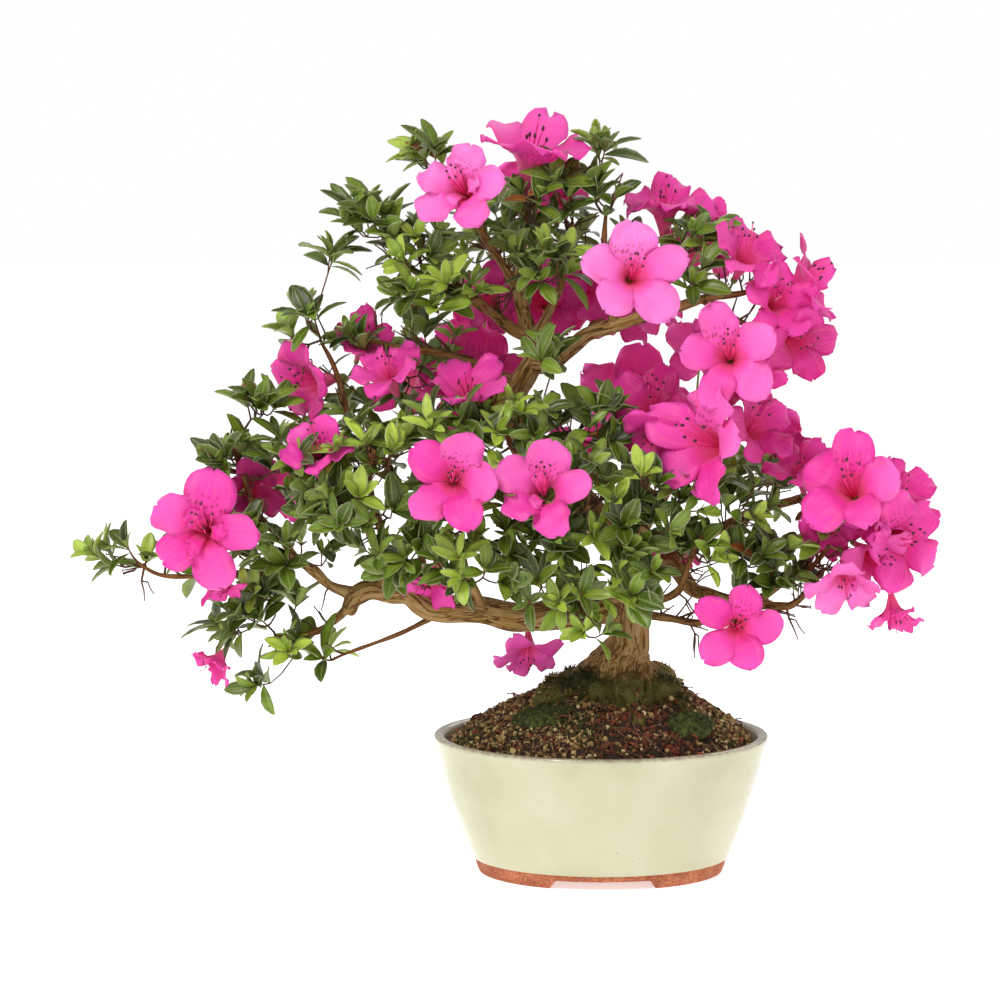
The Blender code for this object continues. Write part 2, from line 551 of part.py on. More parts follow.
def build_moss(name, x, y, half_x, half_y):
    """A cushion of moss: a flat ball, less the soil raised by the clearance, less the roots."""
    edge_x, edge_y, _ = inner_section(POT_HEIGHT - SOIL_BELOW_LIP, OVAL_CLEARANCE)
    share = math.hypot((x - COLLAR_X) / edge_x, y / edge_y)
    bm = bmesh.new()
    bmesh.ops.create_uvsphere(bm, u_segments=12, v_segments=8, radius=1.0)
    size = Matrix.Diagonal((half_x * MM, half_y * MM, 2 * MOSS_THICKNESS * MM, 1))
    bm.transform(Matrix.Translation((x * MM, y * MM, (mound_height(share) - MOSS_THICKNESS) * MM)) @ size)
    cushion = mesh_from(bm, name)
    ground = soil_blank()
    ground.transform(Matrix.Translation((0, 0, 2 * CLEARANCE * MM)))
    foot, *buried = root_cutters()
    roots = combined(foot, buried, "UNION", "roots")
    above = combined(cushion, [ground], "DIFFERENCE", name + "_ground")
    cleared = combined(above, [roots], "DIFFERENCE", name + "_roots")
    piece(largest_part(cleared), name, "moss", smooth=True)


def largest_part(mesh):
    """The mesh without the small loose parts that a cut can leave."""
    bm = bmesh.new()
    bm.from_mesh(mesh)
    left = set(bm.verts)
    groups = []
    while left:
        group, edge = set(), [left.pop()]
        while edge:
            vert = edge.pop()
            group.add(vert)
            near = [e.other_vert(vert) for e in vert.link_edges]
            fresh = [v for v in near if v in left]
            left.difference_update(fresh)
            edge.extend(fresh)
        groups.append(group)
    groups.sort(key=len)
    bmesh.ops.delete(bm, geom=[v for group in groups[:-1] for v in group], context="VERTS")
    return mesh_from(bm, mesh.name)


class Neighbours:
    """The pieces made so far, which a new stalk, leaf or petal has to stay clear of."""

    def __init__(self):
        self.trees = []

    def add(self, mesh):
        points = [v.co.copy() for v in mesh.vertices]
        faces = [tuple(p.vertices) for p in mesh.polygons]
        self.trees.append(self.tree(points, faces))

    @staticmethod
    def tree(points, faces):
        low = np.min(np.array(points), axis=0)
        high = np.max(np.array(points), axis=0)
        return BVHTree.FromPolygons(points, faces), low, high

    def clear(self, points, faces):
        """True if a shape of these points and faces crosses none of the pieces."""
        tree, low, high = self.tree(points, faces)
        for other, other_low, other_high in self.trees:
            if (low > other_high).any() or (high < other_low).any():
                continue
            if tree.overlap(other):
                return False
        return True


def shape_of(bm):
    """The points and faces of a shape, pushed out by the clearance that it is to keep."""
    bm.normal_update()
    bm.verts.index_update()
    points = [v.co + v.normal * CLEARANCE * MM for v in bm.verts]
    return points, [tuple(v.index for v in f.verts) for f in bm.faces]


def leaving_point(start, toward, gap):
    """A point just off a branch, on the side that faces a place.  The start is (x, y, z, branch radius)."""
    middle = Vector(start[:3])
    return middle + (toward - middle).normalized() * (start[3] + gap)


def stalk_path(first, tip, heading, radius, bends):
    """A bowed stalk that arrives at its tip along the heading."""
    reach = (tip - first).length
    side = (tip - heading * reach * 0.35 - first).normalized()
    bow = [first, first + side * reach * 0.25, tip - heading * reach * 0.3, tip]
    points = []
    for step in range(bends + 1):
        t = step / bends
        weights = ((1 - t) ** 3, 3 * (1 - t) ** 2 * t, 3 * (1 - t) * t**2, t**3)
        points.append(sum((w * p for w, p in zip(weights, bow)), Vector()))
    return [(*p, radius) for p in points]


def nearest_wood(wood, place, count=8, apart=6.0):
    """The nearest points on thin branches, no two of them closer than apart."""
    found = []
    for point in sorted(wood, key=lambda p: (Vector(p[:3]) - place).length):
        if all((Vector(point[:3]) - Vector(q[:3])).length > apart for q in found):
            found.append(point)
        if len(found) == count:
            return found
    return found


def flower_shape(start, throat, facing, radius):
    """A stalk, a funnel and five joined petals: a tube that flares, with its rim drawn into lobes."""
    calyx = throat - facing * COROLLA_TUBE
    first = leaving_point(start, calyx - facing * COROLLA_TUBE / 2, 2 * CLEARANCE)
    path = stalk_path(first, calyx, facing, STALK_RADIUS, 1)
    for share, width in FUNNEL:
        path.append((*(calyx + facing * COROLLA_TUBE * share), width))
    path.append((*(throat + facing * LOBE_RISE), radius))
    bm = tube(path, FLOWER_SIDES)
    centre = (throat + facing * LOBE_RISE) * MM
    cap = max(bm.faces, key=lambda face: face.calc_area())
    for number, vert in enumerate(cap.verts):
        if number % 2:
            vert.co = centre + (vert.co - centre) * NOTCH_SHARE
    face = cap
    for width, depth in ((THROAT_RADIUS - PETAL_EDGE, HOLLOW_START), (HOLLOW_FOOT, HOLLOW_DEPTH)):
        widest = max((v.co - centre).length for v in face.verts)
        made = bmesh.ops.extrude_discrete_faces(bm, faces=[face])["faces"]
        face = made[0]
        for vert in face.verts:
            vert.co = centre + (vert.co - centre) * (width * MM / widest) - facing * depth * MM
        centre = centre - facing * depth * MM
    bmesh.ops.recalc_face_normals(bm, faces=bm.faces)
    return bm


def build_flower(name, place, facing, share, wood, neighbours):
    """Sets a flower at its place, moved out along its heading or turned until it is clear."""
    facing = Vector(facing).normalized()
    throat = tree_place(*place)
    radius = FLOWER_DIAMETER / 2 * share
    starts = nearest_wood(wood, throat - facing * (COROLLA_TUBE + 8))
    for size in (1.0, 0.9, 0.8, 0.7):
        for push in (0, 4, 8, 12, 17, 22, 28):
            for start in starts:
                bm = flower_shape(start, throat + facing * push, facing, radius * size)
                if neighbours.clear(*shape_of(bm)):
                    mesh = mesh_from(bm, name)
                    neighbours.add(mesh)
                    piece(mesh, name, "petal")
                    return
                bm.free()
    raise ValueError(f"{name} has no clear place")


def leaf_sections(root, along, across, length, gap=0.0):
    """The widest section of a leaf as four corners, and its tip, all pushed out by a gap."""
    lift = along.cross(across).normalized()
    middle = root + along * length * LEAF_WIDEST
    half_width, half_depth = (LEAF_WIDTH / 2 + gap) * MM, (LEAF_THICKNESS / 2 + gap) * MM
    corners = {
        (side, up): middle + across * side * half_width + lift * up * half_depth
        for side in (-1, 1) for up in (-1, 1)
    }
    return corners, root + along * (length + gap * MM) - lift * 0.12 * length


def grow_leaf(bm, face, axis, neighbours, rng):
    """Draws one side face of a shoot's end out into a leaf, where there is room for one."""
    root = face.calc_center_median()
    radial = (face.normal - axis * face.normal.dot(axis)).normalized()
    tilt, turn = rng.uniform(0.25, 0.75), rng.uniform(-0.25, 0.25)
    for change, size in ((0, 1), (0.3, 1), (-0.3, 1), (0.55, 0.9), (0, 0.75), (0.7, 0.7), (0.4, 0.55)):
        outward = Matrix.Rotation(turn, 3, axis) @ radial
        angle = tilt + change
        along = (outward * math.cos(angle) + axis * math.sin(angle)).normalized()
        across = axis.cross(outward).normalized()
        corners, tip = leaf_sections(root, along, across, LEAF_LENGTH * size * MM, 2 * CLEARANCE)
        points = [*(v.co for v in face.verts), *corners.values(), tip]
        faces = [(0, 1, 4), (1, 2, 5), (2, 3, 7), (3, 0, 6), (4, 5, 8), (5, 7, 8), (7, 6, 8), (6, 4, 8)]
        if not neighbours.clear(points, faces):
            continue
        corners, tip = leaf_sections(root, along, across, LEAF_LENGTH * size * MM)
        middle = bmesh.ops.extrude_discrete_faces(bm, faces=[face])["faces"][0]
        for vert in middle.verts:
            offset = vert.co - root
            side = 1 if offset.dot(across) > 0 else -1
            up = 1 if offset.dot(axis) > 0 else -1
            vert.co = corners[side, up]
        end = bmesh.ops.extrude_discrete_faces(bm, faces=[middle])["faces"][0]
        bmesh.ops.pointmerge(bm, verts=list(end.verts), merge_co=tip)
        return


def shoot_mesh(path, neighbours, rng):
    """A shoot with a whorl of leaves round its tip, or None if its stem crosses a neighbour."""
    end, before = Vector(path[-1][:3]), Vector(path[-2][:3])
    axis = (end - before).normalized()
    path = [*path, (*(end + axis * WHORL_HEIGHT), path[-1][3])]
    bm = tube(path, 6)
    if not neighbours.clear(*shape_of(bm)):
        bm.free()
        return None
    whorl = end + axis * WHORL_HEIGHT / 2
    sides = [f for f in bm.faces if len(f.verts) == 4
             and abs((f.calc_center_median() / MM - whorl).dot(axis)) < WHORL_HEIGHT / 4]
    for face in sides:
        grow_leaf(bm, face, axis, neighbours, rng)
    return mesh_from(bm, "shoot")


def clear_shoot(bud, place, lean, neighbours, rng):
    """A shoot to its place, shifted a little until its stem is clear."""
    heading = Vector(lean).normalized()
    for spread in range(24):
        shift = Vector([rng.uniform(-1, 1) * spread for _ in range(3)])
        tip = tree_place(*place) + shift
        mesh = shoot_mesh(stalk_path(bud, tip, heading, SHOOT_RADIUS, 2), neighbours, rng)
        if mesh:
            return mesh
    return None


def build_spray(name, shoots, wood, neighbours, rng):
    """A spray of leaves: shoots that leave the wood at one point, joined into one body."""
    middle = sum((tree_place(*place) for place, _ in shoots), Vector()) / len(shoots)
    lean = sum((Vector(way).normalized() for _, way in shoots), Vector()) / len(shoots)
    knob = 1.9 * SHOOT_RADIUS
    for start in nearest_wood(wood, middle - lean * LEAF_LENGTH, 16):
        bud = leaving_point(start, middle, knob + 3 * CLEARANCE)
        knuckle = bmesh.new()
        bmesh.ops.create_icosphere(knuckle, subdivisions=1, radius=knob * MM)
        knuckle.transform(Matrix.Translation(bud * MM))
        if not neighbours.clear(*shape_of(knuckle)):
            continue
        meshes = [clear_shoot(bud, place, way, neighbours, rng) for place, way in shoots]
        if all(meshes):
            break
    else:
        raise ValueError(f"{name} has no clear place")
    joined = combined(mesh_from(knuckle, "knuckle"), meshes, "UNION", name)
    piece(joined, name, "leaf")
    neighbours.add(joined)


def centre_on_footprint():
    """Moves the carrier so that the middle of the bonsai's footprint is the origin."""
    corners = [v.co for obj in BONSAI.objects if obj.type == "MESH" for v in obj.data.vertices]
    low = Vector(map(min, zip(*corners)))
    high = Vector(map(max, zip(*corners)))
    CARRIER.location = (-(low.x + high.x) / 2, -(low.y + high.y) / 2, -low.z)


def main():
    rng = random.Random(SEED)
    build_pot()
    for name, side in (("drain_screen_left", -1), ("drain_screen_right", 1)):
        build_screen(name, side * DRAIN_SPACING / 2)
    wood = build_wood()
    build_soil()
    for name, patch in MOSS_PATCHES.items():
        build_moss(name, *patch)
    neighbours = Neighbours()
    for obj in BONSAI.objects:
        if obj.type == "MESH":
            neighbours.add(obj.data)
    for number, (place, facing, share) in enumerate(FLOWERS, 1):
        build_flower(f"flower_{number:02d}", place, facing, share, wood, neighbours)
    for number, shoots in enumerate(SPRAYS, 1):
        build_spray(f"leaf_spray_{number:02d}", shoots, wood, neighbours, rng)
    centre_on_footprint()


clear_scene()
BONSAI = bpy.data.collections.new("azalea_bonsai")
HELPERS = bpy.data.collections.new("helpers")
for collection in (BONSAI, HELPERS):
    bpy.context.scene.collection.children.link(collection)
CARRIER = bpy.data.objects.new("bonsai_carrier", None)
BONSAI.objects.link(CARRIER)
main()
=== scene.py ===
"""Looks of a flowering azalea bonsai in an oval glazed pot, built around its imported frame.

Every sub-assembly is a class: the pot, the soil bed, the wood, the leaf crown, the flowers and the
studio.  Sizes are in millimetres until MM turns them into metres.  Places in the tree are measured
from the collar, where the trunk leaves the soil.
"""

import logging
import math
import random
from dataclasses import dataclass, field
from enum import Enum

import bpy
import numpy as np
from mathutils import Matrix, Vector
from mathutils.bvhtree import BVHTree


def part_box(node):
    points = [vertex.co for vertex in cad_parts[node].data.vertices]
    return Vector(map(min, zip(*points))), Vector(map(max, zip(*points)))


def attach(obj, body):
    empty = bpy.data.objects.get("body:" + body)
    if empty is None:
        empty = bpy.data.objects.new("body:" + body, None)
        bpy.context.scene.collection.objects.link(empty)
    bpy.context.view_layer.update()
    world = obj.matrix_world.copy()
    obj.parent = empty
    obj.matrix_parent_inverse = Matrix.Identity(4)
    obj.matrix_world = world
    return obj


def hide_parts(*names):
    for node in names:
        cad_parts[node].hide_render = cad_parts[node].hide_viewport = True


logging.basicConfig(level=logging.INFO, format="%(message)s")
LOG = logging.getLogger("bonsai")

MM = 0.001
SEED = 11
MOUND_RISE = 29.0  # the collar stands this far above the pot's lip

Path = list[tuple[float, float, float, float]]


# ---------------------------------------------------------------- colour and nodes


def linear(code: str, alpha: float = 1.0) -> tuple[float, float, float, float]:
    """Turns an sRGB hex colour to linear values.

    Args:
        code: the colour, such as "#ddd9b4".
        alpha: the fourth value.

    Returns:
        Red, green, blue and alpha.
    """
    parts = [int(code[i : i + 2], 16) / 255 for i in (1, 3, 5)]
    red, green, blue = [c / 12.92 if c <= 0.04045 else ((c + 0.055) / 1.055) ** 2.4 for c in parts]
    return red, green, blue, alpha


def add_node(
    tree: bpy.types.NodeTree,
    kind: str,
    values: dict | None = None,
    stops: list[tuple[float, str]] | None = None,
    **settings: object,
) -> bpy.types.Node:
    """Adds one shader node with its settings and links.

    Args:
        tree: the node tree it goes in.
        kind: the node's type, without "ShaderNode".
        values: an input's name or number, to its value, its hex colour, the socket that feeds it or
            the node whose first output does.
        stops: a colour ramp's places and hex colours.
        settings: the node's own properties.

    Returns:
        The node.
    """
    node = tree.nodes.new("ShaderNode" + kind)
    for name, value in settings.items():
        setattr(node, name, value)
    for key, value in (values or {}).items():
        if isinstance(value, (bpy.types.NodeSocket, bpy.types.Node)):
            tree.links.new(value.outputs[0] if isinstance(value, bpy.types.Node) else value, node.inputs[key])
        else:
            node.inputs[key].default_value = linear(value) if isinstance(value, str) else value
    if stops:
        ramp = node.color_ramp
        while len(ramp.elements) < len(stops):
            ramp.elements.new(1.0)
        for element, (place, code) in zip(ramp.elements, stops):
            element.position = place
            element.color = linear(code)
    return node


def new_material(name: str) -> tuple[bpy.types.Material, bpy.types.NodeTree]:
    """Makes an empty node material.

    Args:
        name: the material's name.

    Returns:
        The material and its node tree.
    """
    made = bpy.data.materials.new(name)
    made.use_nodes = True
    made.node_tree.nodes.clear()
    return made, made.node_tree


def per_mm(size: float) -> float:
    """Gives the texture scale that draws one feature every so many millimetres."""
    return 1.0 / (size * MM)


# ---------------------------------------------------------------- finishes


@dataclass(frozen=True)
class CeladonGlaze:
    """Glossy cream-green stoneware glaze over an unglazed red clay foot.

    The glaze gives a wet, glassy skin with a fine crackle, rare iron specks and a line where it
    breaks thin and brown on the lip's edge.  The clay below it is matt, warm and sandy.
    """

    glaze: str = "#bab896"
    pool: str = "#adac88"
    pale: str = "#c2c1a2"
    thin: str = "#7c6659"
    crackle_mm: float = 6.5
    speck_mm: float = 5.0

    def build(self) -> bpy.types.Material:
        """Builds the glaze material."""
        made, tree = new_material("celadon_glaze")
        place = add_node(tree, "TexCoord").outputs["Object"]
        cloud = add_node(tree, "TexNoise", {"Vector": place, "Scale": per_mm(55), "Detail": 3.0})
        body = add_node(
            tree, "ValToRGB", {"Fac": cloud}, stops=[(0.3, self.pool), (0.5, self.glaze), (0.75, self.pale)]
        )
        warp = add_node(tree, "TexNoise", {"Vector": place, "Scale": per_mm(9), "Detail": 2.0})
        bent = add_node(
            tree, "MixRGB", {"Fac": 0.0045, "Color1": place, "Color2": warp.outputs["Color"]},
            blend_type="ADD"
        )
        cells = add_node(
            tree, "TexVoronoi", {"Vector": bent, "Scale": per_mm(self.crackle_mm)}, feature="DISTANCE_TO_EDGE"
        )
        line = add_node(
            tree, "MapRange",
            {"Value": cells, "From Min": 0.0, "From Max": 0.03, "To Min": 0.1, "To Max": 0.0}
        )
        crazed = add_node(tree, "MixRGB", {"Fac": line, "Color1": body, "Color2": "#8f8866"})
        dots = add_node(tree, "TexVoronoi", {"Vector": place, "Scale": per_mm(self.speck_mm)})
        rare = add_node(tree, "TexNoise", {"Vector": place, "Scale": per_mm(14), "Detail": 0.0})
        gate = add_node(
            tree, "MapRange",
            {"Value": rare, "From Min": 0.6, "From Max": 0.66, "To Min": 0.0, "To Max": 0.075}
        )
        speck = add_node(tree, "Math", {0: dots, 1: gate}, operation="LESS_THAN")
        speckled = add_node(tree, "MixRGB", {"Fac": speck, "Color1": crazed, "Color2": "#6d6146"})
        edge = add_node(tree, "Attribute", attribute_name="edge")
        streaks = add_node(tree, "TexNoise", {"Vector": place, "Scale": per_mm(3.5), "Detail": 3.0})
        patchy = add_node(
            tree, "MapRange",
            {"Value": streaks, "From Min": 0.35, "From Max": 0.62, "To Min": 0.3, "To Max": 1.0}
        )
        worn = add_node(tree, "Math", {0: edge.outputs["Fac"], 1: patchy}, operation="MULTIPLY")
        broken = add_node(tree, "MixRGB", {"Fac": worn, "Color1": speckled, "Color2": self.thin})
        dip = add_node(tree, "MapRange", {"Value": line, "From Max": 0.1, "To Min": 1.0, "To Max": 0.0})
        ripple = add_node(tree, "TexNoise", {"Vector": place, "Scale": per_mm(26), "Detail": 2.0})
        orange = add_node(tree, "TexNoise", {"Vector": place, "Scale": per_mm(3), "Detail": 1.0})
        height = add_node(tree, "Math", {0: ripple, 1: 1.4, 2: orange}, operation="MULTIPLY_ADD")
        bump = add_node(tree, "Bump", {"Height": height, "Strength": 0.1, "Distance": 0.6 * MM})
        fine = add_node(
            tree, "Bump", {"Height": dip, "Strength": 0.15, "Distance": 0.05 * MM, "Normal": bump}
        )
        shader = add_node(
            tree, "BsdfPrincipled",
            {"Base Color": broken, "Roughness": 0.16, "IOR": 1.5, "Coat Weight": 0.4, "Coat Roughness": 0.05,
             "Normal": fine}
        )
        add_node(tree, "OutputMaterial", {"Surface": shader})
        return made


@dataclass(frozen=True)
class BareTerracotta:
    """Unglazed red stoneware, fired in the open: matt and sandy, mottled dark and light."""

    clay: str = "#a35a3a"
    dark: str = "#7c3d25"
    grit_mm: float = 1.3

    def build(self) -> bpy.types.Material:
        """Builds the clay material."""
        made, tree = new_material("bare_terracotta")
        place = add_node(tree, "TexCoord").outputs["Object"]
        cloud = add_node(tree, "TexNoise", {"Vector": place, "Scale": per_mm(12), "Detail": 5.0})
        grit = add_node(tree, "TexNoise", {"Vector": place, "Scale": per_mm(self.grit_mm), "Detail": 3.0})
        both = add_node(tree, "Math", {0: cloud, 1: 0.7, 2: grit}, operation="MULTIPLY_ADD")
        tint = add_node(
            tree, "ValToRGB", {"Fac": both}, stops=[(0.55, self.dark), (0.85, self.clay), (1.0, "#bb7550")]
        )
        bump = add_node(tree, "Bump", {"Height": grit, "Strength": 0.5, "Distance": 0.3 * MM})
        shader = add_node(tree, "BsdfPrincipled", {"Base Color": tint, "Roughness": 0.82, "Normal": bump})
        add_node(tree, "OutputMaterial", {"Surface": shader})
        return made


@dataclass(frozen=True)
class AzaleaBark:
    """Old azalea bark: thin, grey-brown, split along the limb into narrow flakes, green at the foot.

    The pattern reads the "flow" attribute, millimetres across and along the limb, so that the
    splits run with the wood.
    """

    ridge: str = "#9c7838"
    middle: str = "#674413"
    split: str = "#1b0a00"
    young: str = "#6c3c0e"
    moss: str = "#3e450e"
    flake_mm: float = 2.4
    stretch: float = 0.13

    def build(self) -> bpy.types.Material:
        """Builds the bark material."""
        made, tree = new_material("azalea_bark")
        flow = add_node(tree, "Attribute", attribute_name="flow").outputs["Vector"]
        limb = add_node(tree, "Attribute", attribute_name="limb")
        along = add_node(
            tree, "VectorMath", {0: flow, 1: (1.0, 1.0, self.stretch)}, operation="MULTIPLY"
        ).outputs["Vector"]
        fibre = add_node(
            tree, "TexNoise", {"Vector": along, "Scale": 1 / self.flake_mm, "Detail": 6.0, "Roughness": 0.62}
        )
        broad = add_node(tree, "TexNoise", {"Vector": along, "Scale": 1 / 11.0, "Detail": 3.0})
        fold = add_node(
            tree, "TexNoise",
            {"Vector": along, "Scale": 1 / (1.5 * self.flake_mm), "Detail": 3.0, "Distortion": 0.6}
        )
        centred = add_node(tree, "Math", {0: fold, 1: 0.5}, operation="SUBTRACT")
        away = add_node(tree, "Math", {0: centred}, operation="ABSOLUTE")
        crack = add_node(tree, "MapRange", {"Value": away, "From Max": 0.045, "To Min": 0.0, "To Max": 1.0})
        height = add_node(tree, "Math", {0: crack, 1: 0.45, 2: fibre}, operation="MULTIPLY_ADD")
        tint = add_node(
            tree, "ValToRGB", {"Fac": height},
            stops=[(0.34, self.split), (0.6, self.middle), (0.86, self.ridge), (1.0, "#b79b6c")]
        )
        aged = add_node(tree, "MixRGB", {"Fac": broad, "Color1": "#9c886c", "Color2": "#ead4b0"})
        weathered = add_node(
            tree, "MixRGB", {"Fac": 0.55, "Color1": tint, "Color2": aged}, blend_type="MULTIPLY"
        )
        fresh = add_node(
            tree, "MixRGB", {"Fac": limb.outputs["Fac"], "Color1": self.young, "Color2": weathered}
        )
        place = add_node(tree, "TexCoord").outputs["Object"]
        clump = add_node(tree, "TexNoise", {"Vector": place, "Scale": per_mm(7), "Detail": 5.0})
        damp = add_node(tree, "Attribute", attribute_name="damp")
        green = add_node(tree, "Math", {0: damp.outputs["Fac"], 1: 1.15, 2: clump}, operation="MULTIPLY_ADD")
        cover = add_node(
            tree, "MapRange",
            {"Value": green, "From Min": 0.86, "From Max": 1.12, "To Min": 0.0, "To Max": 0.85}
        )
        mossy = add_node(tree, "MixRGB", {"Fac": cover, "Color1": fresh, "Color2": self.moss})
        bump = add_node(tree, "Bump", {"Height": height, "Strength": 0.75, "Distance": 0.7 * MM})
        shader = add_node(
            tree, "BsdfPrincipled",
            {"Base Color": mossy, "Roughness": 0.78, "Specular IOR Level": 0.35, "Normal": bump}
        )
        add_node(tree, "OutputMaterial", {"Surface": shader})
        return made


@dataclass(frozen=True)
class YoungTwig:
    """Green-brown young shoots with a thin, slightly shiny skin and red-brown hairs."""

    def build(self) -> bpy.types.Material:
        """Builds the twig material."""
        made, tree = new_material("young_twig")
        tone = add_node(tree, "Attribute", attribute_name="tone")
        tint = add_node(
            tree, "ValToRGB", {"Fac": tone.outputs["Fac"]},
            stops=[(0.0, "#66702a"), (0.3, "#623210"), (0.65, "#481e06"), (1.0, "#63411a")]
        )
        place = add_node(tree, "TexCoord").outputs["Object"]
        scar = add_node(tree, "TexNoise", {"Vector": place, "Scale": per_mm(1.4), "Detail": 2.0})
        bump = add_node(tree, "Bump", {"Height": scar, "Strength": 0.6, "Distance": 0.2 * MM})
        shader = add_node(tree, "BsdfPrincipled", {"Base Color": tint, "Roughness": 0.6, "Normal": bump})
        add_node(tree, "OutputMaterial", {"Surface": shader})
        return made


@dataclass(frozen=True)
class AzaleaLeaf:
    """Small leathery evergreen leaves: satin above, paler and dull below, with a pale sunken midrib.

    "blade" holds the place on the leaf: across from -1 to 1, along from 0 to 1, and 1 on the upper
    side.  "tone" runs from 0 on a new leaf to 1 on an old one.
    """

    new: str = "#bbd54c"
    fresh: str = "#92ad33"
    full: str = "#5b7414"
    old: str = "#243500"
    rib: str = "#b7c56a"
    edge: str = "#e4e6bc"
    under: str = "#92a556"

    def build(self) -> bpy.types.Material:
        """Builds the leaf material."""
        made, tree = new_material("azalea_leaf")
        blade = add_node(tree, "Attribute", attribute_name="blade")
        axes = add_node(tree, "SeparateXYZ", {"Vector": blade.outputs["Vector"]})
        tone = add_node(tree, "Attribute", attribute_name="tone")
        body = add_node(
            tree, "ValToRGB", {"Fac": tone.outputs["Fac"]},
            stops=[(0.0, self.new), (0.25, self.fresh), (0.6, self.full), (0.93, self.old), (0.97, "#a4522a"),
                   (1.0, "#8c3b22")]
        )
        place = add_node(tree, "TexCoord").outputs["Object"]
        mottle = add_node(tree, "TexNoise", {"Vector": place, "Scale": per_mm(6), "Detail": 4.0})
        shade = add_node(
            tree, "MapRange",
            {"Value": mottle, "From Min": 0.3, "From Max": 0.7, "To Min": 0.8, "To Max": 1.18}
        )
        varied = add_node(
            tree, "MixRGB", {"Fac": 1.0, "Color1": body, "Color2": shade}, blend_type="MULTIPLY"
        )
        side = add_node(tree, "Math", {0: axes.outputs["X"]}, operation="ABSOLUTE").outputs[0]
        rib = add_node(
            tree, "MapRange",
            {"Value": side, "From Min": 0.04, "From Max": 0.16, "To Min": 0.3, "To Max": 0.0}
        )
        slant = add_node(tree, "Math", {0: axes.outputs["Y"], 1: 46.0, 2: side}, operation="MULTIPLY_ADD")
        swept = add_node(tree, "Math", {0: side, 1: -9.0, 2: slant}, operation="MULTIPLY_ADD")
        wave = add_node(tree, "Math", {0: swept}, operation="SINE")
        vein = add_node(
            tree, "MapRange", {"Value": wave, "From Min": 0.75, "From Max": 1.0, "To Min": 0.0, "To Max": 0.1}
        )
        margin = add_node(
            tree, "MapRange", {"Value": side, "From Min": 0.8, "From Max": 1.0, "To Min": 0.0, "To Max": 0.75}
        )
        drawn = add_node(tree, "Math", {0: rib, 1: vein}, operation="MAXIMUM")
        veined = add_node(tree, "MixRGB", {"Fac": drawn, "Color1": varied, "Color2": self.rib})
        ribbed = add_node(tree, "MixRGB", {"Fac": margin, "Color1": veined, "Color2": self.edge})
        pale = add_node(tree, "MixRGB", {"Fac": 0.55, "Color1": ribbed, "Color2": self.under})
        sided = add_node(tree, "MixRGB", {"Fac": axes.outputs["Z"], "Color1": pale, "Color2": ribbed})
        bump = add_node(tree, "Bump", {"Height": drawn, "Strength": 0.5, "Distance": 0.25 * MM}, invert=True)
        shader = add_node(tree, "BsdfPrincipled", {"Base Color": sided, "Roughness": 0.36, "Normal": bump})
        through = add_node(tree, "MixRGB", {"Fac": 0.3, "Color1": sided, "Color2": "#b8cc3c"})
        glow = add_node(tree, "BsdfTranslucent", {"Color": through})
        both = add_node(tree, "MixShader", {0: 0.14, 1: shader, 2: glow})
        add_node(tree, "OutputMaterial", {"Surface": both})
        return made


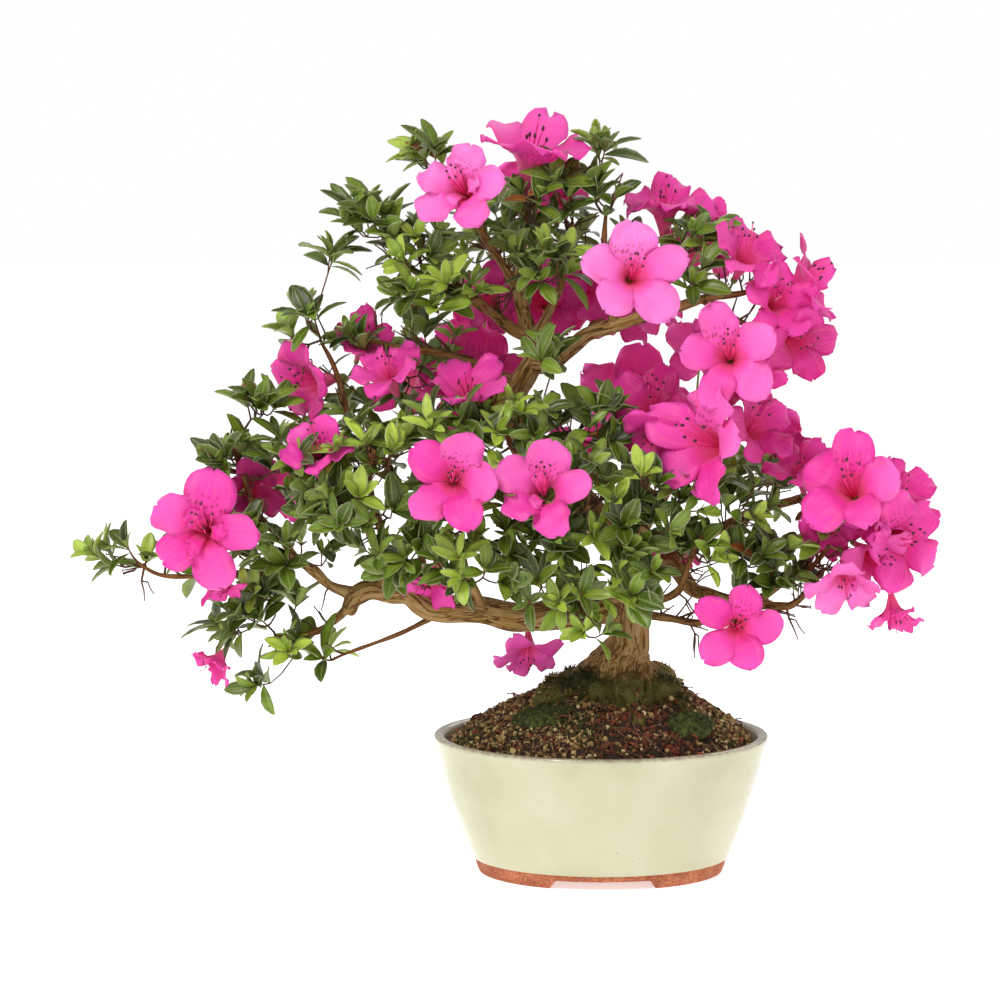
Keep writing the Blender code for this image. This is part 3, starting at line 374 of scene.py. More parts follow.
@dataclass(frozen=True)
class AzaleaPetal:
    """Thin moist petals: velvety magenta that lets light through, veined, spotted on the upper lobe.

    "blade" holds across from -1 to 1, along from 0 at the tube's foot to 1 at the tip, and the weight
    of the spots.  "tone" runs from 0 on the palest flower to 1 on the deepest.  The light pink at the
    throat is partly the flower's own colour and partly painted light over the shade inside the tube.
    """

    pale: str = "#fd7ad8"
    middle: str = "#f22aac"
    deep: str = "#cc0a7e"
    # painted light: this throat pink is lightened to stand in for light in the shaded tube; the veins use it
    # too
    vein_and_lit_throat: str = "#ff6f9c"
    spot: str = "#a80a48"

    def build(self) -> bpy.types.Material:
        """Builds the petal material."""
        made, tree = new_material("azalea_petal")
        blade = add_node(tree, "Attribute", attribute_name="blade")
        axes = add_node(tree, "SeparateXYZ", {"Vector": blade.outputs["Vector"]})
        tone = add_node(tree, "Attribute", attribute_name="tone")
        body = add_node(
            tree, "ValToRGB", {"Fac": tone.outputs["Fac"]},
            stops=[(0.0, self.pale), (0.5, self.middle), (1.0, self.deep)]
        )
        tips = add_node(
            tree, "ValToRGB", {"Fac": tone.outputs["Fac"]},
            stops=[(0.0, "#ff9ce8"), (0.5, "#fc50c6"), (1.0, "#e424a0")]
        )
        outward = add_node(
            tree, "MapRange",
            {"Value": axes.outputs["Y"], "From Min": 0.5, "From Max": 1.0, "To Min": 0.0, "To Max": 0.85}
        )
        lobe = add_node(tree, "MixRGB", {"Fac": outward, "Color1": body, "Color2": tips})
        # painted light: towards the tube's foot the colour turns to the lightened throat pink, in place of the
        # tube's shade
        throat_light_mask = add_node(
            tree, "MapRange",
            {"Value": axes.outputs["Y"], "From Min": 0.22, "From Max": 0.52, "To Min": 0.75, "To Max": 0.0}
        )
        throat_lightened = add_node(tree, "MixRGB", {"Fac": throat_light_mask, "Color1": lobe, "Color2": self.vein_and_lit_throat})
        fan = add_node(
            tree, "VectorMath", {0: blade.outputs["Vector"], 1: (9.0, 1.3, 0.0)}, operation="MULTIPLY"
        )
        vein = add_node(tree, "TexNoise", {"Vector": fan, "Scale": 1.6, "Detail": 3.0, "Distortion": 0.25})
        streak = add_node(
            tree, "MapRange", {"Value": vein, "From Min": 0.5, "From Max": 0.68, "To Min": 0.0, "To Max": 0.4}
        )
        veined = add_node(tree, "MixRGB", {"Fac": streak, "Color1": throat_lightened, "Color2": self.vein_and_lit_throat})
        grid = add_node(
            tree, "VectorMath", {0: blade.outputs["Vector"], 1: (4.5, 11.0, 0.0)}, operation="MULTIPLY"
        )
        dots = add_node(tree, "TexVoronoi", {"Vector": grid, "Scale": 1.25})
        dot = add_node(
            tree, "MapRange",
            {"Value": dots, "From Min": 0.22, "From Max": 0.42, "To Min": 1.0, "To Max": 0.0}
        )
        low = add_node(tree, "MapRange", {"Value": axes.outputs["Y"], "From Min": 0.28, "From Max": 0.42})
        high = add_node(tree, "MapRange", {"Value": axes.outputs["Y"], "From Min": 0.74, "From Max": 0.58})
        band = add_node(tree, "Math", {0: low, 1: high}, operation="MULTIPLY")
        weighed = add_node(tree, "Math", {0: band, 1: axes.outputs["Z"]}, operation="MULTIPLY")
        spots = add_node(tree, "Math", {0: weighed, 1: dot}, operation="MULTIPLY")
        spotted = add_node(tree, "MixRGB", {"Fac": spots, "Color1": veined, "Color2": self.spot})
        bump = add_node(tree, "Bump", {"Height": vein, "Strength": 0.35, "Distance": 0.5 * MM})
        shader = add_node(
            tree, "BsdfPrincipled",
            {"Base Color": spotted, "Roughness": 0.5, "Sheen Weight": 0.15, "Sheen Roughness": 0.4,
             "Normal": bump}
        )
        glow = add_node(tree, "BsdfTranslucent", {"Color": spotted})
        both = add_node(tree, "MixShader", {0: 0.3, 1: shader, 2: glow})
        add_node(tree, "OutputMaterial", {"Surface": both})
        return made


@dataclass(frozen=True)
class GroundGrit:
    """Damp granular bonsai soil: baked clay, pumice and bark crumbs, each of its own colour."""

    def build(self) -> bpy.types.Material:
        """Builds the grit material, which reads a crumb's colour from "tone"."""
        made, tree = new_material("soil_grit")
        tone = add_node(tree, "Attribute", attribute_name="tone")
        tint = add_node(
            tree, "ValToRGB", {"Fac": tone.outputs["Fac"]},
            stops=[(0.0, "#190c02"), (0.3, "#3c210a"), (0.5, "#603414"), (0.62, "#70240f"), (0.74, "#856838"),
                   (0.9, "#b09458"), (1.0, "#c8b684")]
        )
        place = add_node(tree, "TexCoord").outputs["Object"]
        grain = add_node(tree, "TexNoise", {"Vector": place, "Scale": per_mm(1.1), "Detail": 4.0})
        shade = add_node(
            tree, "MapRange", {"Value": grain, "From Min": 0.3, "From Max": 0.7, "To Min": 0.6, "To Max": 1.2}
        )
        varied = add_node(
            tree, "MixRGB", {"Fac": 1.0, "Color1": tint, "Color2": shade}, blend_type="MULTIPLY"
        )
        bump = add_node(tree, "Bump", {"Height": grain, "Strength": 0.9, "Distance": 0.5 * MM})
        shader = add_node(tree, "BsdfPrincipled", {"Base Color": varied, "Roughness": 0.9, "Normal": bump})
        add_node(tree, "OutputMaterial", {"Surface": shader})
        return made


@dataclass(frozen=True)
class PlainFinish:
    """A finish with a soft mottle between two colours, for the small parts."""

    name: str
    light: str
    dark: str
    roughness: float
    grain_mm: float = 2.0

    def build(self) -> bpy.types.Material:
        """Builds the mottled material."""
        made, tree = new_material(self.name)
        place = add_node(tree, "TexCoord").outputs["Object"]
        grain = add_node(tree, "TexNoise", {"Vector": place, "Scale": per_mm(self.grain_mm), "Detail": 3.0})
        tint = add_node(tree, "ValToRGB", {"Fac": grain}, stops=[(0.35, self.dark), (0.65, self.light)])
        bump = add_node(tree, "Bump", {"Height": grain, "Strength": 0.4, "Distance": 0.2 * MM})
        shader = add_node(
            tree, "BsdfPrincipled", {"Base Color": tint, "Roughness": self.roughness, "Normal": bump}
        )
        add_node(tree, "OutputMaterial", {"Surface": shader})
        return made


class Finish(Enum):
    """The small parts' finishes."""

    ANTHER = PlainFinish("pollen_sac", "#5a2432", "#2c0c14", 0.7, 1.0)
    FILAMENT = PlainFinish("filament", "#f04a94", "#d8246e", 0.45, 2.0)
    SEPAL = PlainFinish("green_sepal", "#8da24a", "#66762f", 0.55, 2.0)
    BUD_SCALE = PlainFinish("bud_scale", "#8a4a2c", "#5c2c1c", 0.5, 1.0)
    MOSS = PlainFinish("moss_fronds", "#4c5418", "#20260a", 0.9, 2.5)
    DRY_LEAF = PlainFinish("dry_leaf", "#a8502a", "#6a2a18", 0.65, 3.0)
    ROOTLET = PlainFinish("rootlet", "#8a6a48", "#54391f", 0.8, 2.0)
    SCREEN = PlainFinish("moulded_screen", "#242424", "#161616", 0.55, 1.5)


MATERIALS: dict[str, bpy.types.Material] = {}


def finish(maker: object) -> bpy.types.Material:
    """Gives a finish's material, built once.

    Args:
        maker: a finish, or a member of Finish.

    Returns:
        The material.
    """
    source = maker.value if isinstance(maker, Finish) else maker
    key = repr(source)
    if key not in MATERIALS:
        MATERIALS[key] = source.build()
    return MATERIALS[key]


# ---------------------------------------------------------------- mesh helpers


def deselect() -> None:
    """Clears the selection, which the frame leaves on its nodes."""
    bpy.ops.object.select_all(action="DESELECT")


@dataclass
class Shape:
    """A small mesh held as arrays, modelled once and copied many times."""

    points: np.ndarray
    faces: list[tuple[int, ...]]
    blade: np.ndarray | None = None

    @classmethod
    def taken_from(cls, obj: bpy.types.Object) -> "Shape":
        """Reads an object's mesh and removes the object.

        Args:
            obj: the modelled object.

        Returns:
            Its shape.
        """
        points = np.array([v.co[:] for v in obj.data.vertices])
        faces = [tuple(p.vertices) for p in obj.data.polygons]
        bpy.data.objects.remove(obj, do_unlink=True)
        return cls(points, faces)


@dataclass
class Batch:
    """Copies of shapes gathered into one mesh, with their attributes."""

    points: list[np.ndarray] = field(default_factory=list)
    faces: list[tuple[int, ...]] = field(default_factory=list)
    slots: list[int] = field(default_factory=list)
    values: dict[str, list[np.ndarray]] = field(default_factory=dict)
    size: int = 0

    def add(self, points: np.ndarray, faces: list[tuple[int, ...]], slot: int = 0, **values: object) -> None:
        """Adds one copy.

        Args:
            points: its vertices, in metres.
            faces: its faces, counted from its own first vertex.
            slot: its material's number.
            values: attributes, one value for each vertex or one for them all.
        """
        self.faces += [tuple(i + self.size for i in face) for face in faces]
        self.slots += [slot] * len(faces)
        self.points.append(points)
        for name, value in values.items():
            width = 3 if name in ("blade", "flow") else 1
            full = np.broadcast_to(np.asarray(value, float).reshape(-1, width), (len(points), width))
            self.values.setdefault(name, []).append(full)
        self.size += len(points)

    def build(self, name: str, materials: list[bpy.types.Material], smooth: bool = True) -> bpy.types.Object:
        """Makes the mesh object.

        Args:
            name: the piece's name.
            materials: its materials, in slot order.
            smooth: whether its faces are shaded smooth.

        Returns:
            The piece.
        """
        mesh = bpy.data.meshes.new(name)
        mesh.from_pydata(np.concatenate(self.points).tolist(), [], self.faces)
        for made in materials:
            mesh.materials.append(made)
        mesh.polygons.foreach_set("material_index", self.slots)
        mesh.polygons.foreach_set("use_smooth", [smooth] * len(self.faces))
        for key, rows in self.values.items():
            full = np.concatenate(rows)
            kind = "FLOAT_VECTOR" if full.shape[1] == 3 else "FLOAT"
            field_name = "vector" if kind == "FLOAT_VECTOR" else "value"
            layer = mesh.attributes.new(key, kind, "POINT")
            layer.data.foreach_set(field_name, full.astype(np.float32).ravel())
        mesh.update()
        obj = bpy.data.objects.new(name, mesh)
        bpy.context.scene.collection.objects.link(obj)
        return obj


def settle(piece: bpy.types.Object, slot: str, *nodes: str) -> None:
    """Puts a finished piece on the frame's one body and reports it.

    Args:
        piece: the piece.
        slot: a material slot's name; not used.
        nodes: the CAD nodes that it stands for.
    """
    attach(piece, "root")
    if nodes:
        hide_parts(*nodes)
    LOG.info("%s: %d faces, for %s", piece.name, len(piece.data.polygons), ", ".join(nodes) or "no node")


def merged_copy(node: str, name: str) -> bpy.types.Object:
    """Copies a CAD node's mesh and merges its loose triangles.

    Args:
        node: the node's name.
        name: the copy's name.

    Returns:
        The copy, selected and active.
    """
    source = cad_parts[node]
    copy = bpy.data.objects.new(name, source.data.copy())
    copy.data.materials.clear()
    bpy.context.scene.collection.objects.link(copy)
    deselect()
    copy.select_set(True)
    bpy.context.view_layer.objects.active = copy
    bpy.ops.object.mode_set(mode="EDIT")
    bpy.ops.mesh.select_all(action="SELECT")
    bpy.ops.mesh.remove_doubles(threshold=1e-6)
    bpy.ops.object.mode_set(mode="OBJECT")
    return copy


def remesh(obj: bpy.types.Object, voxel: float, smoothing: int) -> None:
    """Wraps an object's overlapping shells in one even skin.

    Args:
        obj: the object.
        voxel: the skin's cell, in millimetres.
        smoothing: how many times the skin is relaxed.
    """
    deselect()
    obj.select_set(True)
    bpy.context.view_layer.objects.active = obj
    wrap = obj.modifiers.new("skin", "REMESH")
    wrap.mode = "VOXEL"
    wrap.voxel_size = voxel * MM
    bpy.ops.object.modifier_apply(modifier=wrap.name)
    if smoothing:
        relax = obj.modifiers.new("relax", "SMOOTH")
        relax.factor = 0.5
        relax.iterations = smoothing
        bpy.ops.object.modifier_apply(modifier=relax.name)


def coordinates(mesh: bpy.types.Mesh) -> np.ndarray:
    """Reads a mesh's vertices as rows."""
    flat = np.empty(len(mesh.vertices) * 3, np.float32)
    mesh.vertices.foreach_get("co", flat)
    return flat.reshape(-1, 3).astype(float)


def normals(mesh: bpy.types.Mesh) -> np.ndarray:
    """Reads a mesh's vertex normals as rows."""
    flat = np.empty(len(mesh.vertices) * 3, np.float32)
    mesh.vertex_normals.foreach_get("vector", flat)
    return flat.reshape(-1, 3).astype(float)


def write_points(mesh: bpy.types.Mesh, points: np.ndarray) -> None:
    """Writes a mesh's vertices back from rows."""
    mesh.vertices.foreach_set("co", points.astype(np.float32).ravel())
    mesh.update()


def unit(vector: np.ndarray) -> np.ndarray:
    """Scales one vector, or each row of many, to length 1."""
    size = np.linalg.norm(vector, axis=-1, keepdims=True)
    return vector / np.maximum(size, 1e-12)


def ripple(points: np.ndarray, scale: float, seed: int, waves: int = 14) -> np.ndarray:
    """Smooth seeded noise between about -1 and 1, from sines in random directions.

    Args:
        points: where to read it, one row each.
        scale: the size of a bump, in the points' own units.
        seed: picks the pattern.
        waves: how many sines are added.

    Returns:
        One value for each row.
    """
    rng = np.random.default_rng(seed)
    total = np.zeros(len(points))
    for _ in range(waves):
        way = unit(rng.normal(size=points.shape[1])) * rng.uniform(0.6, 1.7) * math.pi / scale
        total += np.sin(points @ way + rng.uniform(0, math.tau))
    return total / math.sqrt(waves)


def frames_along(points: np.ndarray) -> tuple[np.ndarray, np.ndarray, np.ndarray]:
    """Carries an untwisted frame along a line of points.

    Args:
        points: the line, one row each.

    Returns:
        The forward, side and up directions at each point.
    """
    forward = unit(np.gradient(points, axis=0))
    side = np.zeros_like(points)
    guess = np.array([0.0, 0.0, 1.0]) if abs(forward[0][2]) < 0.9 else np.array([1.0, 0.0, 0.0])
    side[0] = unit(np.cross(forward[0], guess))
    for i in range(1, len(points)):
        kept = side[i - 1] - forward[i] * (side[i - 1] @ forward[i])
        side[i] = unit(kept)
    return forward, side, np.cross(forward, side)


def bezier(bow: np.ndarray, count: int) -> np.ndarray:
    """Samples a cubic curve.

    Args:
        bow: its four control points.
        count: how many points to give.

    Returns:
        The points, first end to last.
    """
    t = np.linspace(0, 1, count)[:, None]
    return (1 - t) ** 3 * bow[0] + 3 * (1 - t) ** 2 * t * bow[1] + 3 * (1 - t) * t**2 * bow[2] + t**3 * bow[3]


def smooth_path(places: Path, steps: int) -> np.ndarray:
    """Reads a Catmull-Rom curve through places that hold x, y, z and a radius.

    Args:
        places: the places.
        steps: points for each stretch.

    Returns:
        One row for each point.
    """
    known = np.array([places[0], *places, places[-1]], float)
    rows = []
    for i in range(1, len(known) - 2):
        a, b, c, d = known[i - 1 : i + 3]
        for step in range(steps):
            t = step / steps
            rows.append(0.5 * (2 * b + (c - a) * t + (2 * a - 5 * b + 4 * c - d) * t**2
                               + (3 * b - a - 3 * c + d) * t**3))
    return np.array([*rows, known[-1]])


def swept(path: np.ndarray, sides: int) -> tuple[np.ndarray, list[tuple[int, ...]]]:
    """Sweeps a closed round tube along a path of x, y, z and radius, in one unit.

    Args:
        path: the path, one row for each ring.
        sides: points round each ring.

    Returns:
        The vertices and the faces.
    """
    _, side, up = frames_along(path[:, :3])
    turn = np.linspace(0, math.tau, sides, endpoint=False)
    ring = np.cos(turn)[None, :, None] * side[:, None] + np.sin(turn)[None, :, None] * up[:, None]
    points = (path[:, None, :3] + ring * path[:, None, 3:4]).reshape(-1, 3)
    faces = []
    for row in range(len(path) - 1):
        for k in range(sides):
            a, b = row * sides + k, row * sides + (k + 1) % sides
            faces.append((a, b, b + sides, a + sides))
    faces.append(tuple(reversed(range(sides))))
    faces.append(tuple(range(len(points) - sides, len(points))))
    return points, faces


# ---------------------------------------------------------------- where things are


@dataclass(frozen=True)
class Site:
    """Where the pot and the tree's collar stand in the frame, in millimetres."""

    pot_x: float
    pot_y: float
    half_length: float
    half_depth: float
    lip: float

    @classmethod
    def from_frame(cls) -> "Site":
        """Reads the pot's place from the frame."""
        low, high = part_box("pot")
        return cls((low[0] + high[0]) / 2 / MM, (low[1] + high[1]) / 2 / MM, (high[0] - low[0]) / 2 / MM,
                   (high[1] - low[1]) / 2 / MM, high[2] / MM)

    def place(self, x: float, y: float, z: float) -> np.ndarray:
        """Turns a place measured from the pot's middle and the collar's height to the frame."""
        return np.array([self.pot_x + x, self.pot_y + y, self.lip + MOUND_RISE + z])

    def path(self, places: Path) -> Path:
        """Turns a branch's places to the frame."""
        return [(*self.place(x, y, z), r) for x, y, z, r in places]


# ---------------------------------------------------------------- pot


@dataclass
class Pot:
    """The oval pot: glazed wall and lip, bare clay band and feet, floor and drainage holes."""

    site: Site
    wall: float = 6.5
    floor: float = 12.5
    foot: float = 9.0
    arch: float = 5.5
    arch_half: float = 35.0
    arch_top: float = 28.0
    lean: float = 22.8
    lip_out: float = 0.8
    ring_width: float = 9.0
    segments: int = 128

    def inset(self, height: float) -> float:
        """How far the outside of the wall stands inside the lip at a height."""
        top = self.site.lip - 6.0
        return self.lip_out + self.lean * max(0.0, top - height) / (top - self.foot)

    def profile(self) -> list[tuple[float, float]]:
        """Lists the wall's section as inset and height, from the foot's inner edge up, over and in."""
        lip, foot = self.site.lip, self.foot
        base = self.inset(foot) + 1.5
        rows = [(base + 2 + self.ring_width, self.arch), (base + 2.4 + self.ring_width - 0.6, 0.5),
                (base + 2 + self.ring_width - 1.6, 0.0), (base + 3.2, 0.0), (base + 2.3, 0.3),
                (base + 1.9, 1.0), (base + 0.5, 4.5), (base - 0.1, foot - 1.2), (base - 0.2, foot - 0.35)]
        rows += [(self.inset(foot) + 0.8, foot - 0.3), (self.inset(foot) + 0.25, foot + 0.1),
                 (self.inset(foot) - 0.1, foot + 0.8), (self.inset(foot + 2), foot + 2.0)]
        for share in np.linspace(0.08, 0.86, 9):
            height = foot + (lip - 6.0 - foot) * share
            rows.append((self.inset(height) - 1.2 * math.sin(math.pi * share), height))
        rows += [(self.inset(lip - 10) + 0.2, lip - 10.0), (self.lip_out + 0.5, lip - 7.4),
                 (self.lip_out + 0.35, lip - 6.0), (self.lip_out, lip - 4.8), (0.4, lip - 3.6),
                 (0.1, lip - 2.6), (0.0, lip - 1.5), (0.2, lip - 0.7), (0.8, lip - 0.18), (1.6, lip),
                 (3.4, lip - 0.02), (self.wall - 1.4, lip - 0.25), (self.wall - 0.4, lip - 0.9),
                 (self.wall + 0.1, lip - 2.0), (self.wall + 0.6, lip - 5.0),
                 (self.inset(lip - 12) + self.wall, lip - 12.0)]
        rows += [(self.inset(h) + self.wall, h) for h in (50.0, 30.0, self.floor + 6.0)]
        rows += [(self.inset(self.floor) + self.wall + 5.0, self.floor)]
        return rows

    def build(self) -> None:
        """Builds the pot, with its feet and holes cut out, and dresses it."""
        rows = self.profile()
        site, count = self.site, self.segments
        turn = np.linspace(0, math.tau, count, endpoint=False)
        batch = Batch()
        points = []
        for inset, height in rows:
            half_x, half_y = site.half_length - inset, site.half_depth - inset
            points.append(np.stack([site.pot_x + half_x * np.cos(turn), site.pot_y + half_y * np.sin(turn),
                                    np.full(count, height)], axis=1))
        faces = []
        for row in range(len(rows) - 1):
            for k in range(count):
                a, b = row * count + k, row * count + (k + 1) % count
                faces.append((a, b, b + count, a + count))
        faces.append(tuple(reversed(range(count))))
        faces.append(tuple(range((len(rows) - 1) * count, len(rows) * count)))
        worn = [float(np.clip((height - site.lip + 2.2) / 1.8, 0, 0.8)) for _, height in rows]
        edge = np.repeat(worn, count)
        batch.add(np.concatenate(points) * MM, faces, edge=edge)
        pot = batch.build("oval_pot", [finish(CeladonGlaze()), finish(BareTerracotta())])
        self.cut(pot)
        self.dress(pot)
        settle(pot, "glaze", "pot")

    def cut(self, pot: bpy.types.Object) -> None:
        """Cuts the arches between the feet and the two drainage holes.

        Args:
            pot: the pot.
        """
        site = self.site
        deselect()
        bpy.ops.mesh.primitive_cube_add(
            size=1.0, location=(site.pot_x * MM, site.pot_y * MM, (self.arch / 2 - 2.5) * MM)
        )
        arch = bpy.context.object
        arch.scale = (2 * self.arch_half * MM, 3 * site.half_depth * MM, (self.arch + 5.0) * MM)
        bpy.ops.object.transform_apply(location=False, rotation=False, scale=True)
        for vert in arch.data.vertices:
            if vert.co.z > 0:
                vert.co.x *= self.arch_top / self.arch_half
        bpy.ops.object.mode_set(mode="EDIT")
        bpy.ops.mesh.select_all(action="SELECT")
        bpy.ops.mesh.bevel(offset=1.2 * MM, segments=3, affect="EDGES")
        bpy.ops.object.mode_set(mode="OBJECT")
        cutters = [arch]
        for side in (-1, 1):
            bpy.ops.mesh.primitive_cylinder_add(
                vertices=40, radius=8.0 * MM, depth=30.0 * MM,
                location=((site.pot_x + side * 35.0) * MM, site.pot_y * MM, 9.0 * MM),
            )
            cutters.append(bpy.context.object)
        for cutter in cutters:
            cutting = pot.modifiers.new("cut", "BOOLEAN")
            cutting.operation = "DIFFERENCE"
            cutting.object = cutter
            cutting.solver = "EXACT"
            bpy.context.view_layer.objects.active = pot
            bpy.ops.object.modifier_apply(modifier=cutting.name)
            bpy.data.objects.remove(cutter, do_unlink=True)

    def dress(self, pot: bpy.types.Object) -> None:
        """Gives the clay its faces below the glaze, and shades the wall smooth.

        Args:
            pot: the pot.
        """
        line = (self.foot - 0.32) * MM
        inner = (self.floor + 0.2) * MM
        for face in pot.data.polygons:
            bare = face.center.z < line or (face.center.z < inner and face.normal.z < -0.8)
            face.material_index = int(bare)
        deselect()
        pot.select_set(True)
        bpy.context.view_layer.objects.active = pot
        bpy.ops.object.shade_smooth_by_angle(angle=math.radians(40))


@dataclass
class DrainScreens:
    """The two moulded mesh squares, whose CAD shape is kept under a better finish."""

    def build(self) -> None:
        """Dresses the screens."""
        for name in ("drain_screen_left", "drain_screen_right"):
            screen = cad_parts[name]
            screen.data.materials.clear()
            screen.data.materials.append(finish(Finish.SCREEN))
            LOG.info("%s: carried over", name)


# ---------------------------------------------------------------- wood


TRUNK: Path = [
    (9, 0, -16, 38), (9, 0, -4, 32), (10, 0, 5, 25.5), (12, -1, 13, 19.5), (15, -2, 21, 15),
    (17, -3, 28, 12.3), (17, -3, 40, 11.5), (19, -2, 53, 11.5), (22, 0, 66, 12.5), (14, 5, 83, 11),
    (-2, 10, 99, 10.4), (-22, 12, 119, 9.5), (-38, 12, 139, 8.5), (-50, 10, 159, 7.8),
    (-52, 8, 177, 7.2), (-45, 5, 189, 6.8), (-41, 5, 200, 6), (-45, 8, 218, 4.6),
    (-50, 8, 238, 3.8), (-48, 5, 262, 3.1), (-45, 2, 285, 2.5), (-46, 0, 303, 1.9),
    (-49, -3, 316, 1.3),
]
ROOTS: list[Path] = [
    [(4, -6, 12, 13), (-18, -16, 3, 10), (-38, -24, -6, 7), (-54, -30, -17, 4)],
    [(22, -8, 12, 12), (38, -18, 2, 9), (54, -26, -9, 6), (66, -30, -20, 4)],
    [(2, 8, 12, 12), (-20, 20, 2, 9), (-40, 30, -10, 6), (-54, 36, -22, 4)],
    [(24, 8, 12, 12), (42, 18, 1, 8), (58, 28, -12, 5), (68, 34, -22, 4)],
    [(12, -12, 10, 12), (16, -32, -1, 8), (22, -48, -12, 5)],
]
LIMBS: list[Path] = [
    [(15, 0, 48, 9.5), (-8, -4, 45, 9.5), (-31, -8, 44, 9), (-60, -12, 45, 8.6), (-97, -15, 50, 7.6),
     (-115, -14, 57, 7.2), (-133, -12, 60, 6.6), (-147, -12, 56, 5.8), (-153, -14, 47, 4.4)],
    [(-131, -13, 62, 3.8), (-128, -25, 82, 3), (-132, -40, 107, 2.4), (-138, -55, 132, 1.8),
     (-134, -64, 150, 1.3)],
    [(-145, -12, 57, 4), (-165, -14, 66, 3.3), (-182, -18, 80, 2.8), (-195, -22, 96, 2.3),
     (-208, -25, 116, 1.9), (-216, -25, 138, 1.5), (-218, -22, 152, 1.1)],
    [(-180, -17, 78, 2.4), (-205, -20, 72, 1.9), (-235, -20, 69, 1.7), (-262, -20, 71, 1.3),
     (-276, -20, 77, 1.1)],
    [(-151, -13, 50, 3), (-163, -16, 40, 2.3), (-178, -18, 34, 1.8), (-195, -20, 33, 1.3)],
    [(-97, -15, 46, 2), (-121, -18, 35, 1.4), (-145, -20, 26, 1.1), (-160, -21, 20, 0.9)],
    [(-70, -13, 48, 3.4), (-78, -30, 66, 2.6), (-82, -55, 84, 2), (-84, -74, 94, 1.4)],
    [(-95, -14, 52, 3.4), (-97, -28, 72, 2.6), (-100, -50, 97, 2), (-104, -70, 120, 1.3)],
    [(-102, -13, 54, 3.6), (-108, 15, 72, 2.8), (-115, 38, 100, 2.2), (-130, 48, 132, 1.5)],
    [(-117, -13, 59, 3.8), (-136, -5, 87, 3), (-150, -4, 122, 2.6), (-152, -6, 157, 2.2),
     (-157, -8, 187, 1.7), (-166, -8, 206, 1.2)],
    [(24, 0, 70, 6.8), (34, -2, 74, 5.8), (46, -6, 71, 5.2), (58, -10, 59, 4.4), (75, -16, 55, 3.6),
     (95, -20, 53, 2.8), (112, -22, 52, 2.2), (120, -22, 59, 1.9), (130, -23, 73, 1.5)],
    [(36, -1, 74, 5), (58, 6, 87, 4.2), (80, 8, 99, 3.6), (105, 5, 109, 3), (130, 0, 117, 2.4),
     (150, -4, 122, 1.6)],
    [(21, -6, 52, 3.8), (32, -25, 55, 2.7), (45, -38, 65, 2.3), (50, -46, 82, 1.9), (58, -50, 98, 1.3)],
    [(21, -7, 46, 3.4), (42, -22, 44, 2.4), (60, -36, 45, 1.9), (70, -46, 48, 1.3)],
    [(92, -19, 55, 2.8), (108, -22, 65, 2.2), (122, -27, 75, 1.9), (134, -33, 90, 1.4)],
    [(17, -6, 56, 3.8), (5, -30, 58, 2.8), (-8, -50, 60, 2.2), (-14, -64, 63, 1.4)],
    [(-4, 6, 100, 4.2), (-10, -20, 105, 3), (-12, -48, 111, 2.4), (-10, -74, 118, 1.5)],
    [(16, 2, 82, 4.4), (25, -15, 99, 3.2), (32, -38, 114, 2.6), (35, -60, 126, 1.6)],
    [(-33, 10, 134, 4.2), (-30, -10, 148, 3.2), (-20, -32, 156, 2.4), (-4, -48, 159, 1.5)],
    [(-45, 8, 150, 4.2), (-60, -10, 159, 3), (-68, -32, 166, 2.2), (-71, -44, 171, 1.4)],
    [(2, 7, 96, 4.4), (22, 5, 117, 3.4), (40, -4, 138, 2.8), (58, -10, 150, 2.3), (74, -12, 154, 1.4)],
    [(-12, 13, 106, 4.6), (-30, 38, 119, 3.4), (-50, 60, 134, 2.6), (-57, 70, 144, 1.6)],
    [(18, 6, 80, 4.8), (30, 28, 97, 3.6), (45, 50, 118, 2.8), (50, 64, 130, 1.6)],
    [(78, 8, 98, 3.4), (98, 22, 104, 2.4), (122, 34, 111, 1.5)],
    [(-43, 5, 194, 5.4), (-29, -5, 196, 4.8), (-9, -15, 213, 4.4), (13, -18, 221, 4), (35, -20, 229, 3.4),
     (58, -21, 234, 2.8), (75, -20, 238, 2.1), (88, -18, 240, 1.4)],
    [(31, -19, 228, 3), (38, -12, 246, 2.2), (46, -8, 262, 1.4)],
    [(60, -21, 234, 2.6), (80, -17, 222, 2), (96, -9, 213, 1.3)],
    [(7, -17, 218, 3), (4, -20, 238, 2.2), (0, -15, 260, 1.8), (2, -8, 284, 1.3)],
    [(-43, 6, 204, 4), (-33, 1, 225, 3), (-25, -3, 243, 2.4), (-22, 0, 266, 1.7), (-18, 0, 280, 1.2)],
    [(-44, 7, 210, 4.2), (-58, 5, 219, 3.6), (-70, 2, 228, 3.2), (-88, -4, 239, 2.7),
     (-108, -9, 249, 2.2), (-122, -11, 262, 1.4)],
    [(-49, 8, 236, 3.4), (-62, 1, 258, 2.5), (-76, -4, 281, 2), (-86, -6, 300, 1.3)],
    [(-60, 4, 220, 3), (-72, -15, 232, 2.3), (-86, -28, 245, 1.4)],
    [(-50, 8, 182, 3.8), (-70, 0, 192, 3), (-95, -5, 202, 2.4), (-120, -8, 205, 2), (-142, -8, 211, 1.4)],
    [(-46, 7, 226, 3.4), (-55, 28, 244, 2.8), (-63, 42, 258, 1.6)],
    [(-24, -8, 200, 3.6), (-5, 18, 216, 2.6), (14, 36, 232, 1.6)],
]


